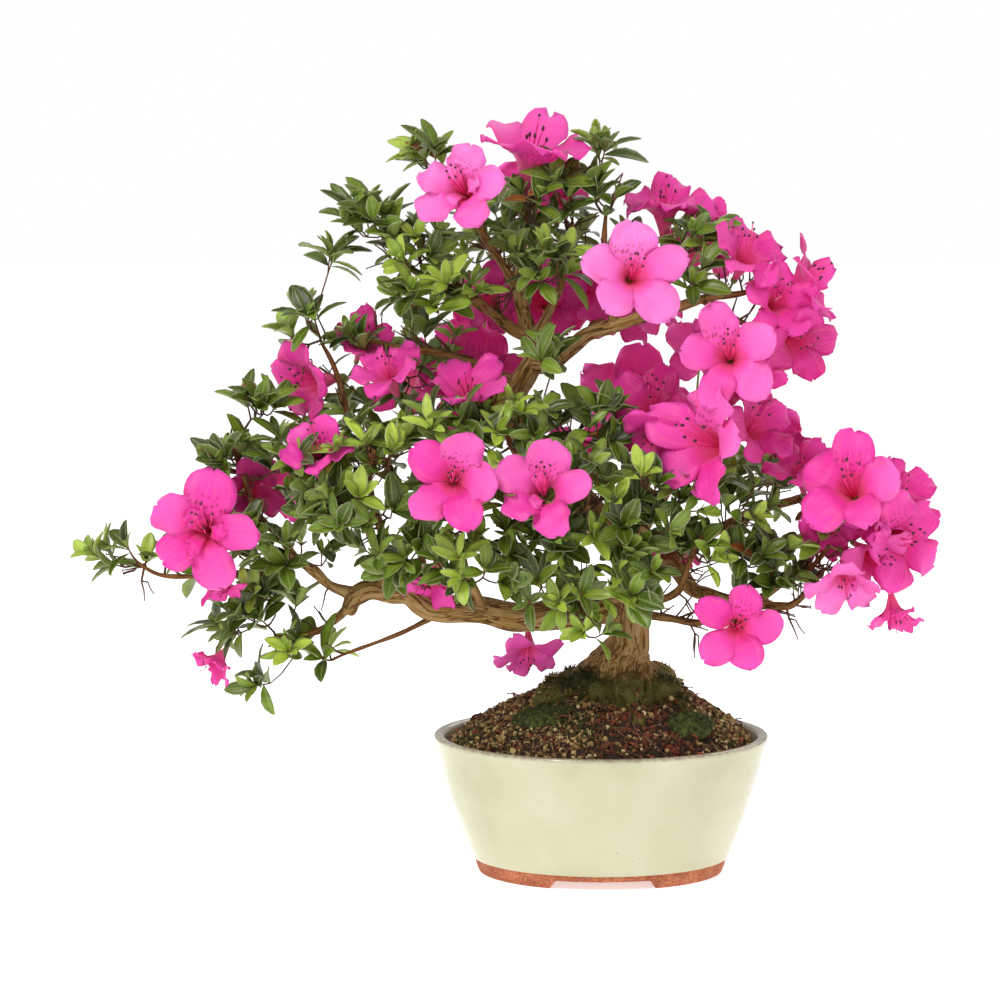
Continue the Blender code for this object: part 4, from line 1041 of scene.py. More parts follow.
@dataclass
class Wood:
    """The grown woody plant: one skin over root flare, trunk and limbs, and finer branches."""

    site: Site
    voxel: float = 1.0
    finest: float = 2.3  # branches thinner than this are swept, because the skin would lose them
    network: list[np.ndarray] = field(default_factory=list)

    def wander(self, rows: np.ndarray, seed: int) -> np.ndarray:
        """Makes a branch crooked and its thickness uneven, as pruned wood is.

        Args:
            rows: the branch's path.
            seed: picks the crooks.

        Returns:
            The crooked path.
        """
        rows = rows.copy()
        steps = np.arange(len(rows))[:, None] + 100.0 * seed
        ends = np.clip(np.arange(len(rows)) / 6, 0, 1)
        for axis in range(3):
            rows[:, axis] += ripple(steps, 7.0, seed * 3 + axis) * np.minimum(rows[:, 3] * 0.28, 1.3) * ends
        rows[:, 3] *= 1 + 0.09 * ripple(steps, 4.0, seed + 500)
        return rows

    def build(self) -> None:
        """Builds the wood and its network of points, and dresses it."""
        site = self.site
        paths = [smooth_path(site.path(TRUNK), 6)]
        sunk = [[(x, y, z - 5.0, r * 0.9) for x, y, z, r in root] for root in ROOTS]
        paths += [self.wander(smooth_path(site.path(root), 6), 40 + n) for n, root in enumerate(sunk)]
        paths += [self.wander(smooth_path(site.path(limb), 6), n) for n, limb in enumerate(LIMBS)]
        skin = Batch()
        for rows in paths:
            thick = rows[rows[:, 3] > self.finest]
            if len(thick) > 2:
                points, faces = swept(thick, 20)
                skin.add(points * MM, faces)
        body = skin.build("trunk_skin", [])
        remesh(body, self.voxel, 5)
        self.carve(body, paths)
        fine = Batch()
        for rows in paths:
            first = max(int(np.argmax(rows[:, 3] <= self.finest)) - 2, 0)
            if rows[-1, 3] <= self.finest and len(rows) - first > 2:
                self.sweep_fine(fine, rows[first:])
            self.network.append(rows)
        finer = fine.build("fine_branches", [finish(AzaleaBark())])
        self.join(body, finer)
        settle(body, "bark", "trunk_and_branches")

    def sweep_fine(self, fine: Batch, rows: np.ndarray) -> None:
        """Adds one fine branch to a batch, with the attributes that its bark reads.

        Args:
            fine: the batch.
            rows: the branch's path.
        """
        points, faces = swept(rows, 9)
        _, side, up = frames_along(rows[:, :3])
        along = np.concatenate([[0.0], np.cumsum(np.linalg.norm(np.diff(rows[:, :3], axis=0), axis=1))])
        ring = points.reshape(len(rows), 9, 3) - rows[:, None, :3]
        flow = np.stack([(ring * side[:, None]).sum(2), (ring * up[:, None]).sum(2),
                         np.broadcast_to(along[:, None], ring.shape[:2])], axis=2).reshape(-1, 3)
        limb = np.repeat(np.clip((rows[:, 3] - 0.8) / 3.0, 0, 1), 9)
        fine.add(points * MM, faces, flow=flow, limb=limb, damp=0.0)

    def carve(self, body: bpy.types.Object, paths: list[np.ndarray]) -> None:
        """Writes the bark's attributes and raises its ridges along the wood.

        Args:
            body: the remeshed skin.
            paths: the branches that it was made from.
        """
        spine = []
        for rows in paths:
            forward, side, up = frames_along(rows[:, :3])
            along = np.concatenate([[0.0], np.cumsum(np.linalg.norm(np.diff(rows[:, :3], axis=0), axis=1))])
            spine.append(np.hstack([rows, forward, side, up, along[:, None] + 137.0 * len(spine)]))
        spine = np.concatenate(spine)
        points = coordinates(body.data) / MM
        nearest = np.empty(len(points), int)
        for start in range(0, len(points), 4000):
            block = points[start : start + 4000]
            far = np.linalg.norm(block[:, None] - spine[None, :, :3], axis=2) - spine[None, :, 3]
            nearest[start : start + 4000] = far.argmin(axis=1)
        chosen = spine[nearest]
        offset = points - chosen[:, :3]
        flow = np.stack([(offset * chosen[:, 7:10]).sum(1), (offset * chosen[:, 10:13]).sum(1),
                         chosen[:, 13] + (offset * chosen[:, 4:7]).sum(1)], axis=1)
        radius = chosen[:, 3]
        low = points[:, 2] - (self.site.lip + MOUND_RISE)
        stretched = flow * np.array([1.0, 1.0, 0.12])
        ridges = ripple(stretched, 3.2, 5, 22) + 0.6 * ripple(stretched, 1.7, 6, 22)
        knots = ripple(flow * np.array([1, 1, 0.5]), 9.0, 8, 18)
        depth = np.clip(radius / 12.0, 0.12, 1.0)
        burl = np.clip(1 - low / 26.0, 0, 1)
        raised = depth * (0.42 * ridges + 0.5 * knots) + burl * 1.5 * ripple(points, 7.0, 9, 18)
        write_points(body.data, (points + normals(body.data) * raised[:, None]) * MM)
        damp = np.clip(1.0 - low / 22.0, 0, 1) * 0.75
        limb = np.clip(radius / 3.5, 0, 1)
        fields = (("flow", "FLOAT_VECTOR", flow), ("limb", "FLOAT", limb), ("damp", "FLOAT", damp))
        for name, kind, values in fields:
            layer = body.data.attributes.new(name, kind, "POINT")
            layer.data.foreach_set("vector" if kind == "FLOAT_VECTOR" else "value",
                                   values.astype(np.float32).ravel())
        body.data.materials.append(finish(AzaleaBark()))
        body.data.polygons.foreach_set("use_smooth", [True] * len(body.data.polygons))

    def join(self, body: bpy.types.Object, finer: bpy.types.Object) -> None:
        """Joins the fine branches to the skin, as one piece of wood.

        Args:
            body: the skin, which stays.
            finer: the fine branches.
        """
        deselect()
        finer.select_set(True)
        body.select_set(True)
        bpy.context.view_layer.objects.active = body
        bpy.ops.object.join()
        body.name = "azalea_wood"


# ---------------------------------------------------------------- soil


# Where loose moss grows: its middle from the pot's middle, its half sizes and its strands.
MOSS_PATCHES: list[tuple[float, float, float, float, int]] = [
    (-14, -18, 16, 10, 620), (-24, -40, 16, 14, 560), (-12, -56, 14, 10, 300), (-78, -22, 12, 24, 420),
    (-55, -48, 18, 10, 260), (44, -24, 14, 10, 300), (70, -30, 14, 16, 260), (-30, 24, 20, 14, 420),
    (40, 34, 24, 16, 420), (-70, 36, 16, 16, 260),
]


@dataclass
class SoilBed:
    """The bed of soil: a rough ground, a layer of crumbs, litter, rootlets and moss fronds."""

    site: Site
    crumbs: int = 9000
    scraps: int = 150
    rootlets: int = 320

    def build(self) -> None:
        """Builds the bed and everything that lies on it."""
        ground = merged_copy("soil_mound", "soil_ground")
        remesh(ground, 1.6, 2)
        points = coordinates(ground.data) / MM
        up = normals(ground.data)
        rough = 0.9 * ripple(points, 4.5, 21, 24) + 0.5 * ripple(points, 2.4, 22, 24)
        open_top = np.clip((points[:, 2] - self.site.lip + 8.0) / 4.0, 0, 1) * np.clip(up[:, 2] * 2, 0, 1)
        write_points(ground.data, (points + up * (rough * open_top * 0.8)[:, None]) * MM)
        layer = ground.data.attributes.new("tone", "FLOAT", "POINT")
        layer.data.foreach_set("value", np.full(len(points), 0.12, np.float32))
        ground.data.materials.append(finish(GroundGrit()))
        ground.data.polygons.foreach_set("use_smooth", [True] * len(ground.data.polygons))
        settle(ground, "soil", "soil_mound")
        self.surface = self.tree_of(ground)
        self.wood = self.tree_of(bpy.data.objects["azalea_wood"])
        self.scatter_crumbs()
        self.scatter_litter()
        self.grow_moss()

    def tree_of(self, obj: bpy.types.Object) -> BVHTree:
        """Makes a search tree of an object's faces."""
        mesh = obj.data
        return BVHTree.FromPolygons([v.co for v in mesh.vertices], [p.vertices for p in mesh.polygons])

    def landing(self, x: float, y: float, climb: float = 0.0) -> tuple[Vector, Vector] | None:
        """Finds the ground under a place, or the foot of the wood where the soil is banked over it.

        Args:
            x: the place, in millimetres.
            y: the place, in millimetres.
            climb: how far above the collar the soil is banked, in millimetres.

        Returns:
            The point and the ground's normal, or None.
        """
        start = Vector((x * MM, y * MM, (self.site.lip + MOUND_RISE + 20) * MM))
        down = Vector((0, 0, -1))
        hit, normal, _, _ = self.surface.ray_cast(start, down)
        wood, slope, _, _ = self.wood.ray_cast(start, down)
        if wood is not None and (hit is None or wood.z > hit.z):
            hit, normal = wood, slope
            if hit.z / MM > self.site.lip + MOUND_RISE + climb:
                return None
        if hit is None or normal.z < 0.2:
            return None
        return hit, normal

    def spot(self, rng: random.Random) -> tuple[float, float]:
        """Picks a place on the bed, evenly over its oval."""
        turn, reach = rng.uniform(0, math.tau), math.sqrt(rng.random())
        return (self.site.pot_x + (self.site.half_length - 9.0) * reach * math.cos(turn),
                self.site.pot_y + (self.site.half_depth - 9.0) * reach * math.sin(turn))

    def scatter_crumbs(self) -> None:
        """Lays the crumbs of clay, pumice and bark."""
        rng = random.Random(SEED)
        deselect()
        bpy.ops.mesh.primitive_ico_sphere_add(subdivisions=1, radius=1.0)
        crumb = Shape.taken_from(bpy.context.object)
        kinds = []
        for seed in range(12):
            noise = np.random.default_rng(seed)
            shape = crumb.points * noise.uniform(0.62, 1.15, size=(len(crumb.points), 1))
            kinds.append(shape * noise.uniform(0.65, 1.1, size=3))
        batch = Batch()
        for _ in range(self.crumbs):
            x, y = self.spot(rng)
            found = self.landing(x, y, rng.uniform(-12, 5))
            if found is None:
                continue
            size = rng.uniform(0.7, 1.5) if rng.random() < 0.85 else rng.uniform(1.5, 2.4)
            turned = Matrix.Rotation(rng.uniform(0, math.tau), 3, Vector((rng.random(), rng.random(), 0.3)))
            points = kinds[rng.randrange(12)] @ np.array(turned).T * size * MM
            middle = np.array(found[0]) + np.array(found[1]) * size * 0.35 * MM
            near_red = abs(x - self.site.pot_x - 26) < 30 and y < self.site.pot_y
            red = rng.random() < (0.5 if near_red else 0.1)
            pale = rng.random() < (0.35 if near_red else 0.66)
            tone = rng.uniform(*((0.42, 0.64) if red else (0.66, 1.0) if pale else (0.05, 0.5)))
            batch.add(points + middle, crumb.faces, tone=tone)
        settle(batch.build("soil_crumbs", [finish(GroundGrit())], smooth=False), "soil")

    def scatter_litter(self) -> None:
        """Lays dry leaf scraps and fine rootlets."""
        rng = random.Random(SEED + 1)
        scraps, strands = Batch(), Batch()
        leaf = LeafShape().model()
        for number in range(self.scraps):
            x, y = self.spot(rng)
            found = self.landing(x, y)
            if found is None:
                continue
            size = rng.uniform(0.16, 0.4) if number else 0.7
            turned = Matrix.Rotation(rng.uniform(0, math.tau), 3, "Z")
            spin = turned @ Matrix.Rotation(rng.uniform(-0.5, 0.5), 3, "X")
            points = leaf.points @ np.array(spin).T * size * MM
            scraps.add(points + np.array(found[0]) + np.array([0, 0, 1.6 * MM]), leaf.faces)
        for _ in range(self.rootlets):
            x, y = self.spot(rng)
            heading, bend = rng.uniform(0, math.tau), rng.uniform(-0.25, 0.25)
            rows = []
            for _ in range(rng.randint(5, 9)):
                found = self.landing(x, y)
                if found is None:
                    break
                rows.append((*(found[0] / MM + found[1] * rng.uniform(1.0, 2.0)), rng.uniform(0.16, 0.3)))
                heading += bend + rng.uniform(-0.3, 0.3)
                x, y = x + 2.4 * math.cos(heading), y + 2.4 * math.sin(heading)
            if len(rows) > 3:
                points, faces = swept(np.array(rows), 4)
                strands.add(points * MM, faces)
        settle(scraps.build("leaf_litter", [finish(Finish.DRY_LEAF)]), "soil")
        settle(strands.build("rootlets", [finish(Finish.ROOTLET)]), "soil")

    def grow_moss(self) -> None:
        """Covers the two cushions with fronds."""
        rng = random.Random(SEED + 2)
        for name in ("moss_left", "moss_right"):
            cushion = merged_copy(name, name + "_cushion")
            remesh(cushion, 1.0, 2)
            points = coordinates(cushion.data) / MM
            facing = normals(cushion.data)
            moved = points + facing * (0.7 * ripple(points, 3.0, 31, 20))[:, None]
            write_points(cushion.data, moved * MM)
            cushion.data.polygons.foreach_set("use_smooth", [True] * len(cushion.data.polygons))
            cushion.data.materials.append(finish(Finish.MOSS))
            fronds = Batch()
            for index in rng.sample(range(len(points)), min(1100, len(points))):
                if facing[index][2] < 0.0:
                    continue
                way = unit(facing[index] + np.array([rng.uniform(-0.6, 0.6) for _ in range(3)]))
                tall = rng.uniform(1.0, 2.3)
                rows = np.array([(*moved[index], 0.28), (*(moved[index] + way * tall), 0.06)])
                tube, faces = swept(rows, 3)
                fronds.add(tube * MM, faces)
            settle(cushion, "moss", name)
            settle(fronds.build(name + "_fronds", [finish(Finish.MOSS)]), "moss")
        strands = Batch()
        for x, y, half_x, half_y, count in MOSS_PATCHES:
            for _ in range(count):
                found = self.landing(self.site.pot_x + rng.gauss(x, half_x / 2),
                                     self.site.pot_y + rng.gauss(y, half_y / 2), 14.0)
                if found is None:
                    continue
                foot, slope = np.array(found[0]) / MM, np.array(found[1])
                way = unit(slope + np.array([rng.uniform(-0.9, 0.9) for _ in range(3)]))
                tall = rng.uniform(1.6, 3.6)
                bent = unit(way + np.array([rng.uniform(-0.5, 0.5) for _ in range(3)]))
                rows = np.array([(*(foot - slope * 0.4), 0.34), (*(foot + way * tall * 0.55), 0.26),
                                 (*(foot + way * tall * 0.55 + bent * tall * 0.45), 0.07)])
                tube, faces = swept(rows, 3)
                strands.add(tube * MM, faces)
        settle(strands.build("moss_strands", [finish(Finish.MOSS)]), "moss")


# ---------------------------------------------------------------- leaves


@dataclass
class LeafShape:
    """One azalea leaf: blunt, widest past its middle, folded at the midrib and arched."""

    length: float = 25.0
    width: float = 12.0
    thickness: float = 0.5
    fold: float = 0.34
    arch: float = 0.14
    stretches: int = 6

    def model(self) -> Shape:
        """Models the leaf from a grid: shaped in outline, folded, arched and given a thickness.

        Returns:
            The leaf, its foot at the origin, along +Y, its upper side up, in millimetres.
        """
        deselect()
        bpy.ops.mesh.primitive_grid_add(x_subdivisions=4, y_subdivisions=self.stretches, size=2.0)
        leaf = bpy.context.object
        top = len(leaf.data.vertices)
        bpy.ops.object.mode_set(mode="EDIT")
        bpy.ops.mesh.select_all(action="SELECT")
        bpy.ops.mesh.duplicate()
        bpy.ops.mesh.flip_normals()
        bpy.ops.object.mode_set(mode="OBJECT")
        points = coordinates(leaf.data)
        across, row = points[:, 0].copy(), (points[:, 1] + 1) / 2
        along = (1 - np.cos(math.pi * row)) / 2
        rim = (np.abs(across) > 0.99) | (row < 0.01) | (row > 0.99)
        half = self.width / 2 * np.sin(math.pi * along**1.22).clip(0.02) ** 0.62
        points[:, 0] = across * half
        points[:, 1] = self.length * along
        fold = np.abs(across) * half * self.fold
        points[:, 2] = fold + self.length * (0.16 * along * (1 - along) - self.arch * along**2)
        under = np.arange(len(points)) >= top
        points[under & ~rim, 2] -= self.thickness
        write_points(leaf.data, points)
        faces = [tuple(p.vertices) for p in leaf.data.polygons]
        twin = np.arange(len(points))
        twin[under & rim] -= top
        bpy.data.objects.remove(leaf, do_unlink=True)
        kept, index = np.unique(twin, return_inverse=True)
        shape = Shape(points[kept], [tuple(int(index[i]) for i in face) for face in faces])
        upper = np.where(under, 0.0, np.where(rim, 0.6, 1.0))
        shape.blade = np.stack([across, along, upper], axis=1)[kept]
        return shape


@dataclass(frozen=True)
class Pad:
    """A cushion of foliage: its middle and half sizes, how many whorls it holds and how new they are."""

    middle: tuple[float, float, float]
    half: tuple[float, float, float]
    whorls: int
    newness: float = 0.2


PADS: list[Pad] = [
    # the top
    Pad((-100, -15, 318), (12, 10, 7), 6), Pad((-139, -15, 282), (14, 16, 9), 8),
    Pad((-163, -8, 258), (4, 5, 3), 2), Pad((-109, -25, 268), (18, 18, 13), 10),
    Pad((-97, -30, 240), (24, 18, 10), 11, 0.55), Pad((-34, -8, 294), (16, 20, 19), 12),
    Pad((0, 2, 322), (6, 8, 6), 4), Pad((0, -10, 296), (10, 12, 4), 4),
    Pad((-34, -35, 258), (18, 14, 13), 9), Pad((56, -8, 272), (16, 16, 6), 6),
    Pad((52, -32, 250), (9, 10, 7), 4), Pad((-34, -45, 202), (9, 8, 5), 4, 0.0),
    Pad((-60, 20, 276), (20, 18, 18), 8), Pad((0, 20, 262), (24, 18, 16), 6),
    # left shoulder
    Pad((-175, -10, 224), (7, 8, 4), 3), Pad((-184, -10, 210), (5, 6, 3), 2),
    Pad((-148, -10, 208), (10, 10, 6), 4), Pad((-202, -20, 170), (13, 12, 6), 6),
    Pad((-220, -25, 139), (14, 12, 8), 6), Pad((-181, -40, 145), (16, 14, 11), 8),
    Pad((-139, -50, 150), (25, 18, 13), 12, 0.35), Pad((-151, -60, 116), (33, 18, 14), 15, 0.3),
    Pad((-91, -55, 163), (22, 18, 11), 10), Pad((-112, 4, 186), (24, 20, 12), 7),
    # middle
    Pad((-49, -50, 162), (28, 18, 12), 11, 0.3), Pad((-1, -35, 160), (22, 18, 12), 9),
    Pad((-60, -78, 120), (36, 14, 16), 14), Pad((-25, -70, 136), (24, 14, 12), 9, 0.4),
    Pad((11, -62, 130), (22, 14, 14), 9, 0.4), Pad((53, -48, 124), (20, 14, 12), 8),
    Pad((83, -38, 116), (18, 12, 12), 7), Pad((16, -55, 102), (34, 16, 10), 9),
    Pad((-121, -62, 90), (26, 16, 10), 10, 0.3), Pad((-73, -78, 84), (30, 14, 12), 12, 0.25),
    Pad((-25, -72, 68), (26, 14, 14), 11, 0.6), Pad((18, -64, 74), (16, 12, 12), 7, 0.35),
    Pad((95, -36, 86), (20, 12, 9), 7), Pad((59, -40, 88), (18, 12, 9), 5),
    Pad((130, -30, 94), (10, 10, 8), 3), Pad((-8, -78, 46), (10, 6, 5), 2, 0.9),
    Pad((-28, -64, 98), (26, 12, 8), 8), Pad((104, -28, 72), (14, 8, 7), 4),
    # low left
    Pad((-181, -40, 86), (24, 14, 9), 8), Pad((-199, -22, 52), (18, 12, 12), 8, 0.35),
    Pad((-221, -18, 42), (14, 8, 8), 5), Pad((-187, -24, 28), (8, 8, 8), 4, 0.3),
    Pad((-284, -20, 82), (26, 8, 6), 6), Pad((-242, -26, 84), (16, 8, 6), 4),
    Pad((-214, -25, 100), (10, 10, 12), 4),
    Pad((-244, -20, 74), (10, 6, 4), 2), Pad((-206, -22, 8), (5, 5, 4), 2),
    Pad((-168, -20, 24), (10, 8, 6), 2),
    # behind and the back
    Pad((-60, 55, 252), (28, 16, 16), 8), Pad((-140, 45, 148), (34, 22, 20), 11),
    Pad((-60, 80, 142), (36, 16, 18), 10), Pad((50, 70, 142), (32, 16, 16), 9),
    Pad((-10, 78, 108), (32, 14, 14), 7), Pad((100, 40, 124), (26, 18, 10), 7),
    Pad((-100, 40, 110), (28, 20, 16), 7), Pad((-170, 10, 112), (20, 14, 14), 5),
    Pad((30, 20, 138), (28, 20, 12), 6), Pad((-105, 30, 206), (22, 16, 12), 5),
    Pad((56, 40, 258), (18, 12, 8), 3), Pad((140, 16, 112), (14, 12, 8), 3),
]


@dataclass
class Crown:
    """The leaf crown: whorls of leaves on a branching net of twigs, in cushions."""

    site: Site
    wood: Wood
    whorl_leaves: tuple[int, int] = (5, 7)
    twig_radius: float = 0.62
    bare_twigs: int = 340

    def build(self) -> None:
        """Grows every whorl and its twig, and gathers them by the CAD sprays that they stand for."""
        rng = random.Random(SEED + 3)
        kinds = [LeafShape().model(), LeafShape(25.0, 12.5, fold=0.5, arch=0.04).model(),
                 LeafShape(27.0, 10.0, fold=0.3, arch=0.24).model(), LeafShape(26.0, 7.6, fold=0.45).model()]
        self.net = np.concatenate(self.wood.network)[:, :4]
        self.net = self.net[self.net[:, 3] < 9.0]
        sprays = sorted(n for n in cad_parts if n.startswith("leaf_spray"))
        middles = np.array([np.mean(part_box(n), axis=0) / MM for n in sprays])
        leaves = {n: Batch() for n in sprays}
        twigs, buds = Batch(), Batch()
        deselect()
        bpy.ops.mesh.primitive_ico_sphere_add(subdivisions=1, radius=1.0)
        bud = Shape.taken_from(bpy.context.object)
        whorls = self.whorls(rng)
        reach = [np.linalg.norm(self.net[:, :3] - middle, axis=1).min() for middle, _, _ in whorls]
        for index in np.argsort(reach):
            middle, axis, newness = whorls[index]
            owner = sprays[int(np.linalg.norm(middles - middle, axis=1).argmin())]
            heading = self.grow_twig(twigs, middle, axis, rng)
            self.grow_whorl(leaves[owner], kinds, middle, heading, newness, rng)
            buds.add((bud.points * (0.9, 0.9, 1.5) + (middle + heading * 0.8)) * MM, bud.faces)
        self.grow_bare(twigs, buds, bud, rng)
        for name, batch in leaves.items():
            settle(batch.build(name.replace("leaf_spray", "leaves"), [finish(AzaleaLeaf())]), "leaf", name)
        settle(twigs.build("twigs", [finish(YoungTwig())]), "bark")
        settle(buds.build("leaf_buds", [finish(Finish.BUD_SCALE)]), "leaf")

    def whorls(self, rng: random.Random) -> list[tuple[np.ndarray, np.ndarray, float]]:
        """Places the whorls: each pad's, kept apart from each other.

        Args:
            rng: the seeded source of chance.

        Returns:
            Each whorl's middle, its direction and its newness.
        """
        heart = self.site.place(-30, 0, 100)
        found: list[tuple[np.ndarray, np.ndarray, float]] = []
        for pad in PADS:
            middle = self.site.place(*pad.middle)
            for _ in range(pad.whorls):
                for _ in range(12):
                    way = unit(np.array([rng.gauss(0, 1) for _ in range(3)]))
                    spot = middle + way * np.array(pad.half) * rng.uniform(0.3, 1.0) ** 0.5
                    if all(np.linalg.norm(spot - other) > 11.0 for other, _, _ in found):
                        break
                outward = unit(spot - heart)
                axis = unit(0.4 * outward + 0.5 * unit(spot - middle) + np.array([0, -0.25, 0.95])
                            + np.array([rng.uniform(-0.3, 0.3) for _ in range(3)]))
                if spot[1] > self.site.pot_y + 30:
                    axis = unit(axis + np.array([0, 0.5, 0]))
                found.append((spot, axis, pad.newness))
        return found

    def grow_twig(self, twigs: Batch, tip: np.ndarray, axis: np.ndarray, rng: random.Random) -> np.ndarray:
        """Grows a curved twig from the net to a whorl, and adds it to the net.

        Args:
            twigs: the batch it goes in.
            tip: the whorl's middle.
            axis: the whorl's direction.
            rng: the seeded source of chance.

        Returns:
            The direction in which the twig arrives.
        """
        aim = tip - axis * 9.0
        away = np.linalg.norm(self.net[:, :3] - aim, axis=1)
        start = self.net[int(away.argmin())]
        reach = np.linalg.norm(tip - start[:3])
        bow = np.array([start[:3], start[:3] + (aim - start[:3]) * 0.35 + np.array([0, 0, -0.06 * reach]),
                        tip - axis * min(12.0, reach * 0.5), tip])
        count = max(4, int(reach / 6))
        line = bezier(bow, count)
        line[1:-1] += np.array([[rng.uniform(-0.5, 0.5) for _ in range(3)] for _ in range(count - 2)])
        thick = min(start[3], self.twig_radius + 0.012 * reach + 0.25)
        share = np.linspace(0, 1, count)
        radius = thick + (self.twig_radius * 0.8 - thick) * share
        rows = np.hstack([line, radius[:, None]])
        points, faces = swept(rows, 6)
        twigs.add(points * MM, faces, tone=np.repeat(np.clip(1.0 - share * 0.85, 0.1, 1), 6))
        self.net = np.vstack([self.net, rows[1:-1]])
        return unit(line[-1] - line[-2])

    def grow_bare(self, twigs: Batch, buds: Batch, bud: Shape, rng: random.Random) -> None:
        """Grows the leafless twiglets and pruned stubs inside the crown.

        Args:
            twigs: the batch for the twiglets.
            buds: the batch for the bud at each end.
            bud: the bud's shape.
            rng: the seeded source of chance.
        """
        heart = self.site.place(-30, 0, 60)
        starts = self.net[(self.net[:, 3] < 3.2) & (self.net[:, 3] > 0.6)]
        for _ in range(self.bare_twigs):
            start = starts[rng.randrange(len(starts))]
            if start[0] < heart[0] - 40 and start[2] < heart[2] + 12 and rng.random() < 0.75:
                continue
            way = unit(unit(start[:3] - heart) + np.array([rng.gauss(0, 0.7) for _ in range(3)]))
            turn = unit(way + np.array([rng.gauss(0, 0.35) for _ in range(3)]) + np.array([0, 0, 0.3]))
            long = rng.uniform(9, 26)
            line = np.array([start[:3], start[:3] + way * long * 0.35, start[:3] + (way + turn) * long * 0.35,
                             start[:3] + (way * 0.45 + turn * 0.55) * long])
            radius = np.linspace(rng.uniform(0.55, 0.95), 0.35, 4)
            shoots = [np.hstack([line, radius[:, None]])]
            for _ in range(rng.randint(0, 2)):
                off = unit(turn + np.array([rng.gauss(0, 0.6) for _ in range(3)]))
                shoots.append(np.array([(*line[1], 0.6), (*(line[1] + off * long * 0.2), 0.5),
                                        (*(line[1] + (off + turn) * long * 0.22), 0.42),
                                        (*(line[1] + (off + turn * 1.4) * long * 0.28), 0.35)]))
            for rows in shoots:
                points, faces = swept(rows, 5)
                twigs.add(points * MM, faces, tone=np.repeat([0.9, 0.8, 0.6, 0.5], 5))
                buds.add((bud.points * (0.42, 0.42, 0.9) + rows[-1, :3]) * MM, bud.faces)

    def grow_whorl(self, batch: Batch, kinds: list[Shape], middle: np.ndarray, axis: np.ndarray,
                   newness: float, rng: random.Random) -> None:
        """Sets the leaves of one whorl round the end of its twig.

        Args:
            batch: the batch they go in.
            kinds: the leaf's shapes, the commonest first.
            middle: the whorl's middle.
            axis: the twig's direction.
            newness: the chance that the whorl is new growth.
            rng: the seeded source of chance.
        """
        new = rng.random() < newness
        guess = np.array([0.0, 0.0, 1.0]) if abs(axis[2]) < 0.9 else np.array([1.0, 0.0, 0.0])
        side = unit(np.cross(axis, guess))
        up = np.cross(axis, side)
        count = rng.randint(*self.whorl_leaves)
        lower = rng.randint(0, 2)
        phase = rng.uniform(0, math.tau)
        share = rng.uniform(0.68, 1.02)
        usual = kinds[rng.choice((0, 0, 1, 1, 2))]
        for number in range(count + lower):
            below = number >= count
            turn = phase + number * (2.4 if below else math.tau / count) + rng.uniform(-0.3, 0.3)
            leaf = kinds[rng.choice((0, 1, 2, 2, 3))] if rng.random() < 0.3 else usual
            small = number < 2
            rise = rng.uniform(*((0.0, 0.5) if below else (0.95, 1.3) if small else (0.4, 1.1)))
            outward = math.cos(turn) * side + math.sin(turn) * up
            along = unit(outward * math.cos(rise) + axis * math.sin(rise))
            droop = unit(along + np.array([0, 0, -0.12 if below else 0.05]))
            normal = unit(axis - droop * (axis @ droop))
            roll = rng.uniform(-0.35, 0.35)
            across = unit(np.cross(droop, normal))
            across, normal = (across * math.cos(roll) + normal * math.sin(roll),
                              normal * math.cos(roll) - across * math.sin(roll))
            size = share * rng.uniform(0.72, 1.08) * (0.85 if new else 1.0)
            if small:
                size *= rng.uniform(0.45, 0.7)
            basis = np.stack([across * rng.uniform(0.85, 1.12), droop, normal])
            foot = middle - axis * ((number - count) * 3.2 + 2.5 if below else rng.uniform(-0.6, 1.6))
            points = (leaf.points * size) @ basis + foot + droop * 0.6
            age = rng.uniform(*((0.0, 0.3) if new else (0.25, 0.6) if small else (0.4, 0.93)))
            if not new and below and rng.random() < 0.03:
                age = rng.uniform(0.96, 1.0)
            batch.add(points * MM, leaf.faces, blade=leaf.blade, tone=age)


# ---------------------------------------------------------------- flowers


@dataclass(frozen=True)
class Bloom:
    """One flower: the way it faces, its depth of colour, how far it has opened and its extra petals."""

    facing: tuple[float, float, float]
    tone: float = 0.5
    open: float = 1.0
    doubles: int = 0
    middle: tuple[float, float, float] | None = None
    share: float = 1.0


